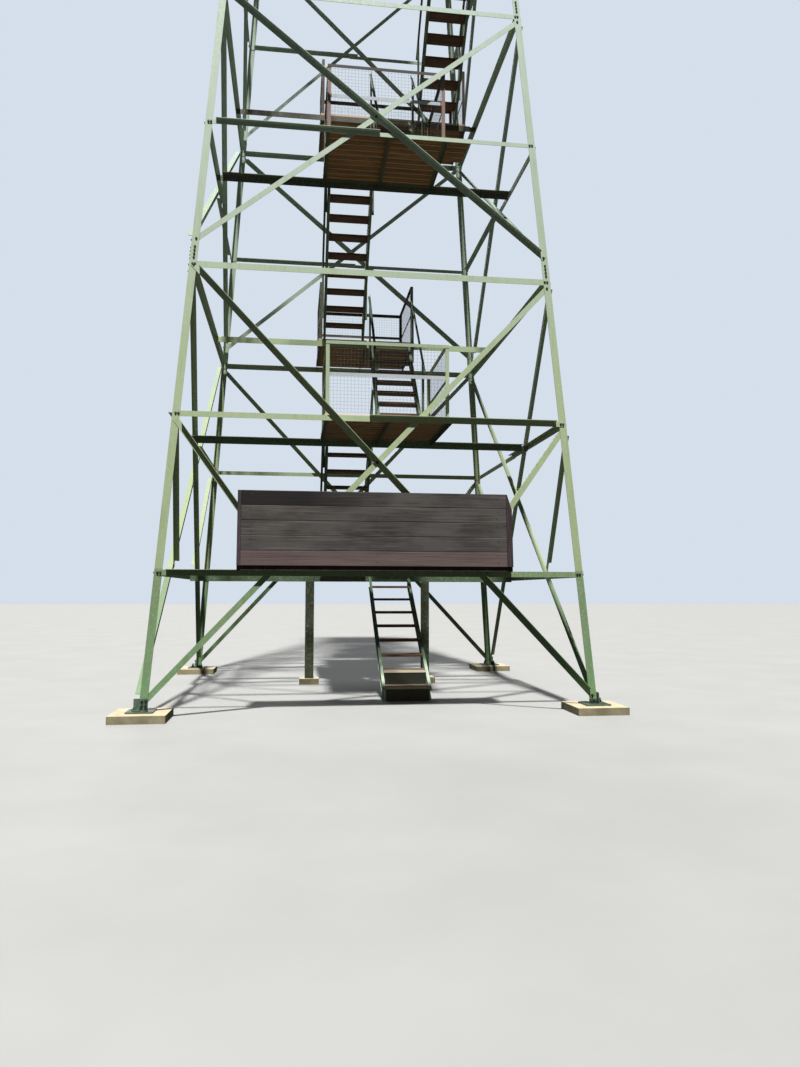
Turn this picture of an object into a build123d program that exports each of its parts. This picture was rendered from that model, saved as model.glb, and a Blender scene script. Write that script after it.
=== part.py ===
"""Steel fire lookout tower: four battered angle legs, braced faces, a switchback stair and a cab.

Millimetres, +Z up. The origin is the centre of the base at ground level and the near face,
which carries the sign, looks towards -Y. Left and right are as seen from in front of that face.
"""

import os
from collections import namedtuple
from math import atan2, ceil, degrees, hypot

from build123d import *

os.makedirs("parts", exist_ok=True)

# Overall form: a square tower that narrows evenly from its feet to the cab floor
BASE_SPREAD = 6026
TOP_SPREAD = 2412
CAB_FLOOR_HEIGHT = 24384
FIRST_STOREY = 1782
LOWER_STOREY = 2134
LOWER_STOREYS = 5
UPPER_STOREYS = 6

# Clearance between members that bear on each other
CLEAR = 0.2

# Footings and foot shoes
PIER_HEIGHT = 100
PIER_WIDTH = 700
POST_PAD_WIDTH = 340
SOLE_WIDTH = 340
SOLE_THICKNESS = 19
SOLE_SETBACK = 30
SHOE_HEIGHT = 150
LOW_SHOE_HEIGHT = 60
SHOE_LAP = 115
SHOE_WING = 60
SHOE_STAND_OFF = 90
SHOE_THICKNESS = 12

# Leg angles and bracing angles by height: first and last level, leg, leg wall, brace, brace wall
Zone = namedtuple("Zone", "bottom top leg leg_wall brace brace_wall")
ZONES = [
    Zone(0, 3, 102, 10, 76, 6),
    Zone(3, 5, 102, 8, 76, 6),
    Zone(5, 7, 102, 8, 64, 6),
    Zone(7, 9, 89, 8, 64, 6),
    Zone(9, 12, 76, 8, 51, 5),
]

# The leg joints lie a little above a level, spliced by an angle inside the leg
SPLICE_RISE = 130
SPLICE_LENGTH = 240
SPLICE_WALL = 8
SPLICE_MARGIN = 12

# Braced panels by their first and last level, and where the diagonals leave the legs
PANELS = [(0, 3), (3, 5), (5, 7), (7, 9), (9, 10), (10, 11), (11, 12)]
DIAGONAL_RISE = {0: 95, 3: 315, 5: 310, 7: 310, 9: 300, 10: 90, 11: 90}
LONG_GIRT_LEVELS = (3, 5, 7, 9, 10, 11, 12)
SPLIT_GIRT_LEVELS = (1, 2, 4, 6, 8)
GIRT_SIZE = {1: 76, 2: 76, 3: 89, 4: 64, 5: 76, 6: 64, 7: 64, 8: 64, 9: 64, 10: 51, 11: 51, 12: 76}
GIRT_WALL = 6
GIRT_LAP = 80
PACKING = 60
END_GAP = 30
LIP_CUT = 100

# Landings: beams across the tower carry joists, which carry the deck
BEAM_SIZE = 102
BEAM_WALL = 8
JOIST_SIZE = 64
JOIST_WALL = 6
JOIST_SPACING = 950
DECK_THICKNESS = 38
DECK_EDGE_GAP = 20
NEAR_BEAM_REACH = 880
FAR_BEAM_REACH = 750
LANDING_DEPTH = 620
LANDING_LEFT = -700
LANDING_RIGHT = {1: 1060, 2: 1090, 3: 1060, 4: 1100, 5: 2050, 6: 1900, 7: 1090, 8: 1060, 9: 1060,
                 10: 1040, 11: 1040}
BAY_LEVEL = 4
BAY_RIGHT = 1430
BAY_DEPTH = 640

# Stair flights, numbered from the ground
FLIGHT_COUNT = 12
SEPARATE_FLIGHTS = 6
LOWER_RISERS = 9
UPPER_RISERS = 8
FIRST_FLIGHT_FOOT = 1650
LEFT_LANE = -245
MIDDLE_LANE = 605
RIGHT_LANE = 1485
LANES = [MIDDLE_LANE, LEFT_LANE, MIDDLE_LANE, LEFT_LANE, MIDDLE_LANE, RIGHT_LANE,
         MIDDLE_LANE, LEFT_LANE, MIDDLE_LANE, LEFT_LANE, MIDDLE_LANE, LEFT_LANE]
TREAD_LENGTH = 650
TREAD_THICKNESS = 38
TREAD_NOSING = 20
CLOSED_RISERS = 2
RISER_THICKNESS = 25
RISER_SETBACK = 6
STRINGER_DEPTH = 150
STRINGER_WEB = 6
STRINGER_FLANGE = 45
STRINGER_DROP = 40

# Guard rails
RAIL_HEIGHT = 1060
MID_RAIL_HEIGHT = 560
POST_SIZE = 51
RAIL_SIZE = 51
RAIL_WALL = 5
RAIL_INSET = 100
RAIL_END_INSET = 20
HANDRAIL_HEIGHT = 850
HANDRAIL_SIZE = 38
HANDRAIL_POST_INSET = 220

# Two posts under the beam of the first landing
LANDING_POST_SIZE = 152
LANDING_POST_WALL = 10
LANDING_POST_LEFT = -884
LANDING_POST_RIGHT = 1331

# Sign on the near face
SIGN_LEFT = -1830
SIGN_RIGHT = 1875
SIGN_BOTTOM = 1945
SIGN_BOARDS = 5
SIGN_BOARD_HEIGHT = 200
SIGN_BOARD_GAP = 4
SIGN_BOARD_THICKNESS = 38
SIGN_BATTEN_WIDTH = 89
SIGN_BATTEN_THICKNESS = 38
SIGN_BATTENS = (-1650, 0, 1650)
SIGN_BATTEN_DROP = 160

# Cab
CAB_WALL = 40
CAB_OVERLAP = 45
CAB_WALL_HEIGHT = 2050
CAB_SILL = 915
CAB_WINDOW_HEAD = 200
CAB_WINDOWS = 3
CAB_WINDOW_WIDTH = 650
CAB_GLASS = 4
CAB_FLOOR_THICKNESS = 38
HATCH_LEFT = -640
HATCH_RIGHT = 150
HATCH_NEAR = -447
HATCH_FAR = 460
ROOF_OVERHANG = 230
ROOF_HEIGHT = 720
ROOF_SHEET = 40
ROOF_SOFFIT = 12
ROOF_FASCIA = 60
FINIAL_RADIUS = 75
ROD_RADIUS = 8
ROD_HEIGHT = 420

# Heights of the levels, from the leg feet to the cab floor
BASE = PIER_HEIGHT + SOLE_THICKNESS
LEVELS = [BASE] + [BASE + FIRST_STOREY + LOWER_STOREY * n for n in range(LOWER_STOREYS + 1)]
UPPER_STOREY = (BASE + CAB_FLOOR_HEIGHT - LEVELS[-1]) / UPPER_STOREYS
LEVELS += [LEVELS[-1] + UPPER_STOREY * (n + 1) for n in range(UPPER_STOREYS)]
TOP_LEVEL = len(LEVELS) - 1
BATTER = (BASE_SPREAD - TOP_SPREAD) / 2 / CAB_FLOOR_HEIGHT

FACES = ["near", "right", "far", "left"]
CORNERS = {"near_left": (-1, -1), "near_right": (1, -1), "far_left": (-1, 1), "far_right": (1, 1)}


def half(height):
    """Distance from the tower's axis to a face, at a height."""
    return BASE_SPREAD / 2 - BATTER * (height - BASE)


def zone_at(level):
    """The zone whose leg stands at a level."""
    return next(zone for zone in ZONES if level <= zone.top)


def save(part, name):
    """Label a finished piece and write it."""
    part.label = name
    export_step(part, f"parts/{name}.step")


def face_point(face, across, height):
    """A point on a face, by its distance from the middle as seen from outside, and its height."""
    return Vector(across, -half(height), height).rotate(Axis.Z, 90 * FACES.index(face))


def face_outward(face):
    """The outward normal of a battered face."""
    return Vector(0, -1, BATTER).normalized().rotate(Axis.Z, 90 * FACES.index(face))


def box(low, high):
    """A box between two corners, in any order."""
    sizes = [abs(b - a) for a, b in zip(low, high)]
    with BuildSketch(Plane.XY.offset(min(low[2], high[2]))) as outline:
        with Locations(((low[0] + high[0]) / 2, (low[1] + high[1]) / 2)):
            Rectangle(sizes[0], sizes[1])
    return extrude(outline.sketch, amount=sizes[2], mode=Mode.PRIVATE)


def prism(plane, points, thickness):
    """A plate of a polygon outline drawn on a plane."""
    with BuildSketch(plane) as outline:
        with BuildLine():
            Polyline(*points, close=True)
        make_face()
    return extrude(outline.sketch, amount=thickness, mode=Mode.PRIVATE)


def face_angle(face, start, end, outside, size, leg_wall, lip_cuts):
    """An angle bolted to a face, outside or inside the legs, with its lip along its upper edge.

    The size holds its width, lip and wall. The lip is cut back from each end.
    """
    width, lip, wall = size
    first = face_point(face, *start)
    run = face_point(face, *end) - first
    side = 1 if outside else -1
    section = Plane(first, x_dir=face_outward(face).cross(run) * side, z_dir=run)
    back = CLEAR if outside else leg_wall + CLEAR
    upper = side * width / 2
    web = [(-upper, back), (upper, back), (upper, back + wall), (-upper, back + wall)]
    edge = [(upper, back), (upper, back + lip), (upper - side * wall, back + lip), (upper - side * wall, back)]
    return [
        prism(section, web, run.length),
        prism(section.offset(lip_cuts[0]), edge, run.length - sum(lip_cuts)),
    ]


def face_packing(face, across, height, leg_wall):
    """The packing plate between an outer and an inner member where they cross."""
    outward = face_outward(face)
    section = Plane(face_point(face, across, height), x_dir=outward.cross(Vector(0, 0, 1)), z_dir=-outward)
    with BuildSketch(section) as outline:
        Rectangle(PACKING, PACKING)
    return extrude(outline.sketch, amount=leg_wall, mode=Mode.PRIVATE)


def girt_inset(zone):
    """How far from a corner a girt inside the legs stops, to clear the next face's girt."""
    return zone.leg_wall + GIRT_WALL + 2 * CLEAR + END_GAP / 2


def inner_lip_cut(zone):
    """How far the lips of girts inside the legs are cut back, to pass each other at a corner."""
    return zone.brace - GIRT_WALL


def brace_inset(zone, outside):
    """How far from a corner a brace ends on the leg's flange."""
    return zone.leg / 2 if outside else zone.leg_wall + zone.brace / 2


def girt_halves_outside(level):
    """Whether the left and the right half of a girt lie outside, as its diagonals require."""
    if level in LONG_GIRT_LEVELS:
        return (False, False)
    below_crossing = half_crossing(level) > LEVELS[level]
    return (below_crossing, not below_crossing)


def diagonal_ends(panel, rising):
    """The two ends of a panel's diagonal, as distance across and height, left end first."""
    bottom, top = panel
    zone = zone_at(top)
    low = LEVELS[bottom] + DIAGONAL_RISE[bottom]
    high = LEVELS[top] - GIRT_SIZE[top] / 2
    if rising:
        high = LEVELS[top] - GIRT_SIZE[top] - zone.brace / 2
    inset = brace_inset(zone, not rising)
    left, right = (low, high) if rising else (high, low)
    return (-half(left) + inset, left), (half(right) - inset, right)


def height_along(ends, across):
    """The height of a straight member at a distance across."""
    (x1, z1), (x2, z2) = ends
    return z1 + (z2 - z1) * (across - x1) / (x2 - x1)


def across_along(ends, height):
    """The distance across of a straight member at a height."""
    (x1, z1), (x2, z2) = ends
    return x1 + (x2 - x1) * (height - z1) / (z2 - z1)


def panel_of(level):
    """The panel that a level lies inside."""
    return next(panel for panel in PANELS if panel[0] < level < panel[1])


def crossing(panel):
    """Where the two diagonals of a panel cross, as distance across and height."""
    rising, falling = diagonal_ends(panel, True), diagonal_ends(panel, False)
    gap_left = height_along(falling, rising[0][0]) - rising[0][1]
    gap_right = height_along(falling, rising[1][0]) - rising[1][1]
    across = rising[0][0] + (rising[1][0] - rising[0][0]) * gap_left / (gap_left - gap_right)
    return across, height_along(rising, across)


def half_crossing(level):
    """The height of the diagonals' crossing in the panel around a level."""
    return crossing(panel_of(level))[1]


# Concrete footings under the legs
with BuildPart() as corner_footings:
    with BuildSketch():
        with GridLocations(BASE_SPREAD - 2 * SOLE_SETBACK, BASE_SPREAD - 2 * SOLE_SETBACK, 2, 2):
            Rectangle(PIER_WIDTH, PIER_WIDTH)
    extrude(amount=PIER_HEIGHT)
save(corner_footings.part, "corner_footings")


def shoe_clip(height, reach):
    """A bent plate outside a far flange, from its lap on the leg to its reach past the middle."""
    top = BASE + height
    outline = [
        (half(BASE) + CLEAR, BASE),
        (half(BASE) + SHOE_STAND_OFF, BASE),
        (half(BASE) + SHOE_STAND_OFF, BASE + SHOE_THICKNESS),
        (half(BASE) + CLEAR + SHOE_THICKNESS, BASE + SHOE_THICKNESS),
        (half(top) + CLEAR + SHOE_THICKNESS, top),
        (half(top) + CLEAR, top),
    ]
    start = half(BASE) - SHOE_LAP
    return prism(Plane.YZ.offset(start), outline, reach - start)


# Foot shoes: a sole plate, a tall clip that stands past the corner and a low one under the brace
with BuildPart() as foot_shoes:
    sole_middle = half(BASE) - SOLE_SETBACK
    tall_clip = shoe_clip(SHOE_HEIGHT, half(BASE) + SHOE_WING)
    low_clip = shoe_clip(LOW_SHOE_HEIGHT, half(BASE + LOW_SHOE_HEIGHT))
    other_clip = mirror(low_clip, about=Plane((0, 0, 0), z_dir=(1, -1, 0)), mode=Mode.PRIVATE)
    sole = box(
        (sole_middle - SOLE_WIDTH / 2, sole_middle - SOLE_WIDTH / 2, PIER_HEIGHT + CLEAR),
        (sole_middle + SOLE_WIDTH / 2, sole_middle + SOLE_WIDTH / 2, BASE),
    )
    with PolarLocations(0, len(CORNERS)):
        add([tall_clip, other_clip, sole])
save(foot_shoes.part, "foot_shoes")


def leg_outline(corner, reach, leg, wall):
    """The corner points of a leg's angle section, its heel at a corner of the tower."""
    sx, sy = corner
    steps = [(0, 0), (leg, 0), (leg, wall), (wall, wall), (wall, leg), (0, leg)]
    return [(sx * (reach - a), sy * (reach - b)) for a, b in steps]


def leg_length(corner, low, high, leg, wall, inset=0):
    """A battered length of leg angle between two heights."""
    sx, sy = corner
    with BuildSketch(Plane.XY.offset(low)) as outline:
        with BuildLine():
            Polyline(*leg_outline(corner, half(low) - inset, leg, wall), close=True)
        make_face()
    lean = Vector(-sx * BATTER, -sy * BATTER, 1) * (high - low)
    return extrude(outline.sketch, amount=lean.length, dir=lean, mode=Mode.PRIVATE)


def splice_height(zone):
    """The height of the leg joint at the foot of a zone."""
    return LEVELS[zone.bottom] + SPLICE_RISE


def leg_pieces(corner):
    """The lengths of one leg, from foot to cab floor."""
    for zone in ZONES:
        low = BASE + CLEAR if zone.bottom == 0 else splice_height(zone) + CLEAR
        high = LEVELS[TOP_LEVEL] if zone.top == TOP_LEVEL else LEVELS[zone.top] + SPLICE_RISE
        yield leg_length(corner, low, high, zone.leg, zone.leg_wall)


# Legs, in lengths that butt a little above a level
for corner_name, corner in CORNERS.items():
    with BuildPart() as leg:
        add(list(leg_pieces(corner)))
    save(leg.part, f"{corner_name}_leg")


def splice_pieces():
    """The splice angles inside the legs at each joint."""
    for corner in CORNERS.values():
        for below, above in zip(ZONES, ZONES[1:]):
            joint = splice_height(above)
            size = above.leg - below.leg_wall - SPLICE_MARGIN
            yield leg_length(corner, joint - SPLICE_LENGTH / 2, joint + SPLICE_LENGTH / 2, size,
                             SPLICE_WALL, inset=below.leg_wall + CLEAR)


with BuildPart() as leg_splices:
    add(list(splice_pieces()))
save(leg_splices.part, "leg_splices")


def girt_pieces(face):
    """Long girts at the panel ends, and two halves, one outside and one inside, at mid-panel."""
    for level in range(1, TOP_LEVEL + 1):
        zone = zone_at(level)
        size = GIRT_SIZE[level]
        middle = LEVELS[level] - size / 2
        reach = half(middle)
        section = (size, min(size, zone.brace), GIRT_WALL)
        sides = girt_halves_outside(level)
        left, right = [-reach + (zone.leg / 2 if sides[0] else girt_inset(zone)),
                       reach - (zone.leg / 2 if sides[1] else girt_inset(zone))]
        left_cut, right_cut = [LIP_CUT if outside else inner_lip_cut(zone) for outside in sides]
        if level in LONG_GIRT_LEVELS:
            yield from face_angle(face, (left, middle), (right, middle), False, section, zone.leg_wall,
                                  (left_cut, right_cut))
        else:
            yield from face_angle(face, (left, middle), (GIRT_LAP, middle), sides[0], section,
                                  zone.leg_wall, (left_cut, 0))
            yield from face_angle(face, (-GIRT_LAP, middle), (right, middle), sides[1], section,
                                  zone.leg_wall, (0, right_cut))


for face in FACES:
    with BuildPart() as girts:
        add(list(girt_pieces(face)))
    save(girts.part, f"{face}_girts")


def secondary_ends(outside):
    """The ends of a lowest panel's secondary brace, from a leg to where the diagonal meets a girt."""
    zone = ZONES[0]
    node_height = LEVELS[1] + zone.brace
    top = LEVELS[2] - GIRT_SIZE[2] - zone.brace / 2
    node = across_along(diagonal_ends(PANELS[0], True), node_height)
    if outside:
        return (-half(top) + brace_inset(zone, True), top), (node, node_height)
    return (-node, node_height), (half(top) - brace_inset(zone, False), top)


def brace_angle(face, ends, outside, zone):
    """A brace of a zone's size between two points of a face."""
    size = (zone.brace, zone.brace, zone.brace_wall)
    return face_angle(face, *ends, outside, size, zone.leg_wall, (LIP_CUT, LIP_CUT))


def brace_pieces(face):
    """The diagonals of a face, rising ones inside the legs and falling ones outside."""
    for panel in PANELS:
        for rising in (True, False):
            yield from brace_angle(face, diagonal_ends(panel, rising), not rising, zone_at(panel[1]))
    for outside in (True, False):
        yield from brace_angle(face, secondary_ends(outside), outside, ZONES[0])


for face in FACES:
    with BuildPart() as braces:
        add(list(brace_pieces(face)))
    save(braces.part, f"{face}_braces")


def packing_pieces(face):
    """Packing plates where an outer and an inner member of a face cross."""
    for panel in PANELS:
        yield face_packing(face, *crossing(panel), zone_at(panel[1]).leg_wall)
    for level in SPLIT_GIRT_LEVELS:
        middle = LEVELS[level] - GIRT_SIZE[level] / 2
        for rising in (True, False):
            across = across_along(diagonal_ends(panel_of(level), rising), middle)
            yield face_packing(face, across, middle, zone_at(level).leg_wall)
        yield face_packing(face, 0, middle, zone_at(level).leg_wall)


with BuildPart() as brace_packings:
    for face in FACES:
        add(list(packing_pieces(face)))
save(brace_packings.part, "brace_packings")


def is_near(level):
    """Landings lie on the near side at even levels and on the far side at odd ones."""
    return level % 2 == 0


def beam_reach(level):
    """Distance from the tower's axis to the stair side of a landing's beam."""
    wanted = NEAR_BEAM_REACH if is_near(level) else FAR_BEAM_REACH
    return min(wanted, half(LEVELS[level]) - LANDING_DEPTH)


def girt_end(level, outside):
    """Where a member that butts a girt ends, and how far it is notched under the girt's lip."""
    reach = half(LEVELS[level])
    if outside:
        return reach - 2 * CLEAR, 0
    return reach - zone_at(level).leg_wall - GIRT_WALL - 4 * CLEAR, GIRT_SIZE[level] + END_GAP


def notch_drop(level):
    """Depth of a notch that clears the sloping lip of a girt."""
    zone = zone_at(level)
    return GIRT_WALL + (zone.leg_wall + zone.brace) * BATTER + 2 * CLEAR


def notched_angle(plane, ends, notches, drop, top, size, wall, flange):
    """An angle with a level flange on its upright's top, both cut back at the ends to pass a lip.

    The plane stands on the upright's back. The flange runs from the back to the given tip.
    """
    (low, high), (low_notch, high_notch) = ends, notches
    points = [(low, top - size), (high, top - size)]
    points += [(high, top - drop), (high - high_notch, top - drop)] if high_notch else []
    points += [(high - high_notch, top), (low + low_notch, top)]
    points += [(low + low_notch, top - drop), (low, top - drop)] if low_notch else []
    level_plane = Plane(plane.from_local_coords((0, top, 0)), x_dir=plane.x_dir, z_dir=-plane.y_dir)
    side = level_plane.to_local_coords(plane.from_local_coords((0, top, flange))).Y
    with BuildPart() as angle:
        with BuildSketch(plane):
            with BuildLine():
                Polyline(*points, close=True)
            make_face()
        extrude(amount=wall if flange > 0 else -wall)
        with BuildSketch(level_plane):
            with Locations(((low + low_notch + high - high_notch) / 2, side / 2)):
                Rectangle(high - high_notch - low - low_notch, abs(side))
        extrude(amount=wall)
    return angle.part


def girt_outside_at(level, face, across):
    """Whether the half of a face's girt at a distance across lies outside."""
    return girt_halves_outside(level)[0 if across < 0 else 1]


def landing_beam(level):
    """The beam across the tower that carries a landing's stair edge, its top level with the girts."""
    side = -1 if is_near(level) else 1
    # Seen from outside, the near part of the left face is its right half
    left_end, left_notch = girt_end(level, girt_outside_at(level, "left", -side))
    right_end, right_notch = girt_end(level, girt_outside_at(level, "right", side))
    plane = Plane((0, side * beam_reach(level), 0), x_dir=(1, 0, 0), z_dir=(0, -1, 0))
    return notched_angle(plane, (-left_end, right_end), (left_notch, right_notch), notch_drop(level),
                         LEVELS[level], BEAM_SIZE, BEAM_WALL, -side * BEAM_SIZE)


with BuildPart() as landing_beams:
    add([landing_beam(level) for level in range(1, TOP_LEVEL)])
save(landing_beams.part, "landing_beams")


def joist_places(level):
    """Where a landing's joists stand along it."""
    span = LANDING_RIGHT[level] - LANDING_LEFT
    bays = ceil(span / JOIST_SPACING)
    return [LANDING_LEFT + span * n / bays for n in range(bays + 1)]


def landing_joist(level, place):
    """A joist between a landing's beam and the girt behind it, notched under both."""
    side = -1 if is_near(level) else 1
    outside = girt_outside_at(level, "near" if side < 0 else "far", -side * place)
    girt_reach, girt_notch = girt_end(level, outside)
    beam_face = beam_reach(level) + BEAM_WALL + CLEAR
    beam_notch = BEAM_SIZE - BEAM_WALL + END_GAP / 2
    ends, notches = (beam_face, girt_reach), (beam_notch, girt_notch)
    if side < 0:
        ends, notches = (-girt_reach, -beam_face), (girt_notch, beam_notch)
    toward = 1 if place < LANDING_RIGHT[level] else -1
    plane = Plane((place, 0, 0), x_dir=(0, 1, 0), z_dir=(1, 0, 0))
    drop = max(notch_drop(level), BEAM_WALL + CLEAR)
    return notched_angle(plane, ends, notches, drop, LEVELS[level], JOIST_SIZE, JOIST_WALL,
                         toward * JOIST_SIZE)


with BuildPart() as landing_joists:
    for level in range(1, TOP_LEVEL):
        add([landing_joist(level, place) for place in joist_places(level)])
save(landing_joists.part, "landing_joists")


def deck_outer(level):
    """Distance from the tower's axis to the outer edge of a deck, inside the face's members."""
    zone = zone_at(level)
    return half(LEVELS[level]) - zone.leg_wall - max(zone.brace, GIRT_SIZE[level] / 2) - DECK_EDGE_GAP


def landing_deck(level):
    """The deck of a landing, with its bay where it has one."""
    side = -1 if is_near(level) else 1
    inner, outer = side * beam_reach(level), side * deck_outer(level)
    bottom, top = LEVELS[level] + CLEAR, LEVELS[level] + DECK_THICKNESS
    right = LANDING_RIGHT[level]
    with BuildPart() as deck:
        add(box((LANDING_LEFT, inner, bottom), (right, outer, top)))
        if level == BAY_LEVEL:
            add(box((right, outer, bottom), (BAY_RIGHT, outer - side * BAY_DEPTH, top)))
    return deck.part


with BuildPart() as near_landings:
    add([landing_deck(level) for level in range(2, TOP_LEVEL, 2)])
save(near_landings.part, "near_landings")

with BuildPart() as far_landings:
    add([landing_deck(level) for level in range(1, TOP_LEVEL, 2)])
save(far_landings.part, "far_landings")


Flight = namedtuple("Flight", "lane foot top start end risers")


def flight(number):
    """Lane, walking heights and run of a flight. The run is from the first riser to the last."""
    upper = number
    lower = number - 1
    climb_away = upper % 2 == 1
    direction = 1 if climb_away else -1
    start = -FIRST_FLIGHT_FOOT if lower == 0 else -direction * beam_reach(lower)
    if upper == TOP_LEVEL:
        end = HATCH_NEAR
    else:
        end = direction * beam_reach(upper)
    foot = 0 if lower == 0 else LEVELS[lower] + DECK_THICKNESS
    floor = CAB_FLOOR_THICKNESS if upper == TOP_LEVEL else DECK_THICKNESS
    risers = LOWER_RISERS if number <= LOWER_STOREYS else UPPER_RISERS
    return Flight(LANES[number - 1], foot, LEVELS[upper] + floor, start, end, risers)


def pitch_line(stair, reach):
    """Height of the line through the nosings at a distance along the tower's depth."""
    rise = (stair.top - stair.foot) / stair.risers
    going = (stair.end - stair.start) / (stair.risers - 1)
    return stair.foot + rise + (reach - stair.start) * rise / going


def sloped_strip(stair, x_low, width, above, depth, start, end):
    """A bar that follows a flight's slope, its underside a set height over the nosing line."""
    points = [
        (start, pitch_line(stair, start) + above),
        (end, pitch_line(stair, end) + above),
        (end, pitch_line(stair, end) + above + depth),
        (start, pitch_line(stair, start) + above + depth),
    ]
    return prism(Plane.YZ.offset(x_low), points, width)


def rise_and_going(stair):
    """The rise and the signed going of a flight's steps."""
    return (stair.top - stair.foot) / stair.risers, (stair.end - stair.start) / (stair.risers - 1)


def slope_stretch(stair):
    """Upright measure of a unit that is square to the slope."""
    rise, going = rise_and_going(stair)
    return hypot(rise, going) / abs(going)


def stringer(stair, side):
    """A channel stringer on one side of a flight, its flanges turned away from the treads."""
    direction = 1 if stair.end > stair.start else -1
    start, end = stair.start + direction * CLEAR, stair.end - direction * CLEAR
    stretch = slope_stretch(stair)
    depth = STRINGER_DEPTH * stretch
    flange = STRINGER_WEB * stretch
    below = -rise_and_going(stair)[0] / 2 - STRINGER_DROP - depth / 2
    face = stair.lane + side * (TREAD_LENGTH / 2 + CLEAR)
    web_x = face if side > 0 else face - STRINGER_WEB
    lip_x = face if side > 0 else face - STRINGER_FLANGE
    with BuildPart() as channel:
        add(
            [
                sloped_strip(stair, web_x, STRINGER_WEB, below, depth, start, end),
                sloped_strip(stair, lip_x, STRINGER_FLANGE, below, flange, start, end),
                sloped_strip(stair, lip_x, STRINGER_FLANGE, below + depth - flange, flange, start, end),
            ]
        )
        if stair.foot == 0:
            split(bisect_by=Plane.XY, keep=Keep.TOP)
    return channel.part


def tread(stair, step):
    """A tread, its nosing over the one below it."""
    rise, going = rise_and_going(stair)
    direction = 1 if going > 0 else -1
    front = stair.start + (step - 1) * going - direction * TREAD_NOSING
    back = stair.start + step * going
    if step == 1:
        front = stair.start + direction * 2 * CLEAR
    if step == stair.risers - 1:
        back -= direction * 2 * CLEAR
    top = stair.foot + step * rise
    side = TREAD_LENGTH / 2
    return box((stair.lane - side, front, top - TREAD_THICKNESS), (stair.lane + side, back, top))


def riser_board(stair, step):
    """A board that closes the rise under a tread of a flight that climbs away."""
    rise, going = rise_and_going(stair)
    front = stair.start + (step - 1) * going + RISER_SETBACK - (TREAD_NOSING if step > 1 else 0)
    foot = stair.foot + (step - 1) * rise + CLEAR
    top = stair.foot + step * rise - TREAD_THICKNESS - CLEAR
    side = TREAD_LENGTH / 2
    return box((stair.lane - side, front, foot), (stair.lane + side, front + RISER_THICKNESS, top))


def flight_pieces(number):
    """The two stringers of a flight and the treads between them, the lowest with closed risers."""
    stair = flight(number)
    pieces = [stringer(stair, -1), stringer(stair, 1)] + [tread(stair, n) for n in range(1, stair.risers)]
    if stair.foot == 0:
        pieces += [riser_board(stair, step) for step in range(1, CLOSED_RISERS + 1)]
    return pieces


for number in range(1, SEPARATE_FLIGHTS + 1):
    with BuildPart() as stair_flight:
        add(flight_pieces(number))
    save(stair_flight.part, f"stair_flight_{number}")

with BuildPart() as upper_flights:
    for number in range(SEPARATE_FLIGHTS + 1, FLIGHT_COUNT + 1):
        add(flight_pieces(number))
save(upper_flights.part, "upper_stair_flights")


def angle_outline(x_heel, y_heel, x_side, y_side, size, wall):
    """Plan of an angle from its heel and the way its two legs run."""
    steps = [(0, 0), (size, 0), (size, wall), (wall, wall), (wall, size), (0, size)]
    return [(x_heel + x_side * a, y_heel + y_side * b) for a, b in steps]


LANDING_POSTS = ((LANDING_POST_LEFT, 1), (LANDING_POST_RIGHT, -1))

# Posts under the beam of the first landing, on small pads
with BuildPart() as landing_posts:
    post_foot = PIER_HEIGHT + CLEAR
    post_height = LEVELS[1] - BEAM_SIZE - CLEAR - post_foot
    for place, toward in LANDING_POSTS:
        outline = angle_outline(place, beam_reach(1), toward, 1, LANDING_POST_SIZE, LANDING_POST_WALL)
        add(prism(Plane.XY.offset(post_foot), outline, post_height))
save(landing_posts.part, "landing_posts")

with BuildPart() as post_pads:
    for place, toward in LANDING_POSTS:
        with BuildSketch() as pad:
            with Locations((place + toward * LANDING_POST_SIZE / 2, beam_reach(1) + LANDING_POST_SIZE / 2)):
                Rectangle(POST_PAD_WIDTH, POST_PAD_WIDTH)
        extrude(pad.sketch, amount=PIER_HEIGHT)
save(post_pads.part, "post_pads")


def rail_set(level, bottom, top, shift, width):
    """A rail along the outer edge of a landing and one along each end, at one height."""
    side = -1 if is_near(level) else 1
    outer, inner = rail_outer(level) - shift, beam_reach(level) + RAIL_END_INSET + shift
    left = LANDING_LEFT + RAIL_END_INSET + shift
    right = LANDING_RIGHT[level] - RAIL_END_INSET - shift
    end_start = side * (outer - width - CLEAR)
    return [
        box((left, side * outer, bottom), (right, side * (outer - width), top)),
        box((left, side * inner, bottom), (left + width, end_start, top)),
        box((right - width, side * inner, bottom), (right, end_start, top)),
    ]


def rail_outer(level):
    """Distance from the tower's axis to a landing's outer rail, clear of the leaning face."""
    return min(half(LEVELS[level] + RAIL_HEIGHT) - RAIL_INSET, deck_outer(level))


def landing_rail_pieces(level):
    """Four posts, a top rail and a middle rail round a landing's outer edge and ends."""
    side = -1 if is_near(level) else 1
    floor = LEVELS[level] + DECK_THICKNESS + CLEAR
    top = floor + RAIL_HEIGHT - RAIL_WALL
    inner = beam_reach(level) + RAIL_END_INSET
    for x_heel, x_side in ((LANDING_LEFT + RAIL_END_INSET, 1), (LANDING_RIGHT[level] - RAIL_END_INSET, -1)):
        for reach, back in ((rail_outer(level), -1), (inner, 1)):
            outline = angle_outline(x_heel, side * reach, x_side, side * back, POST_SIZE, RAIL_WALL)
            yield prism(Plane.XY.offset(floor), outline, top - floor - CLEAR)
    yield from rail_set(level, top, top + RAIL_WALL, 0, POST_SIZE)
    middle = floor + MID_RAIL_HEIGHT
    yield from rail_set(level, middle, middle + RAIL_SIZE, RAIL_WALL + CLEAR, RAIL_WALL)


with BuildPart() as near_rails:
    for level in range(2, TOP_LEVEL, 2):
        add(list(landing_rail_pieces(level)))
save(near_rails.part, "near_landing_rails")

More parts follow.
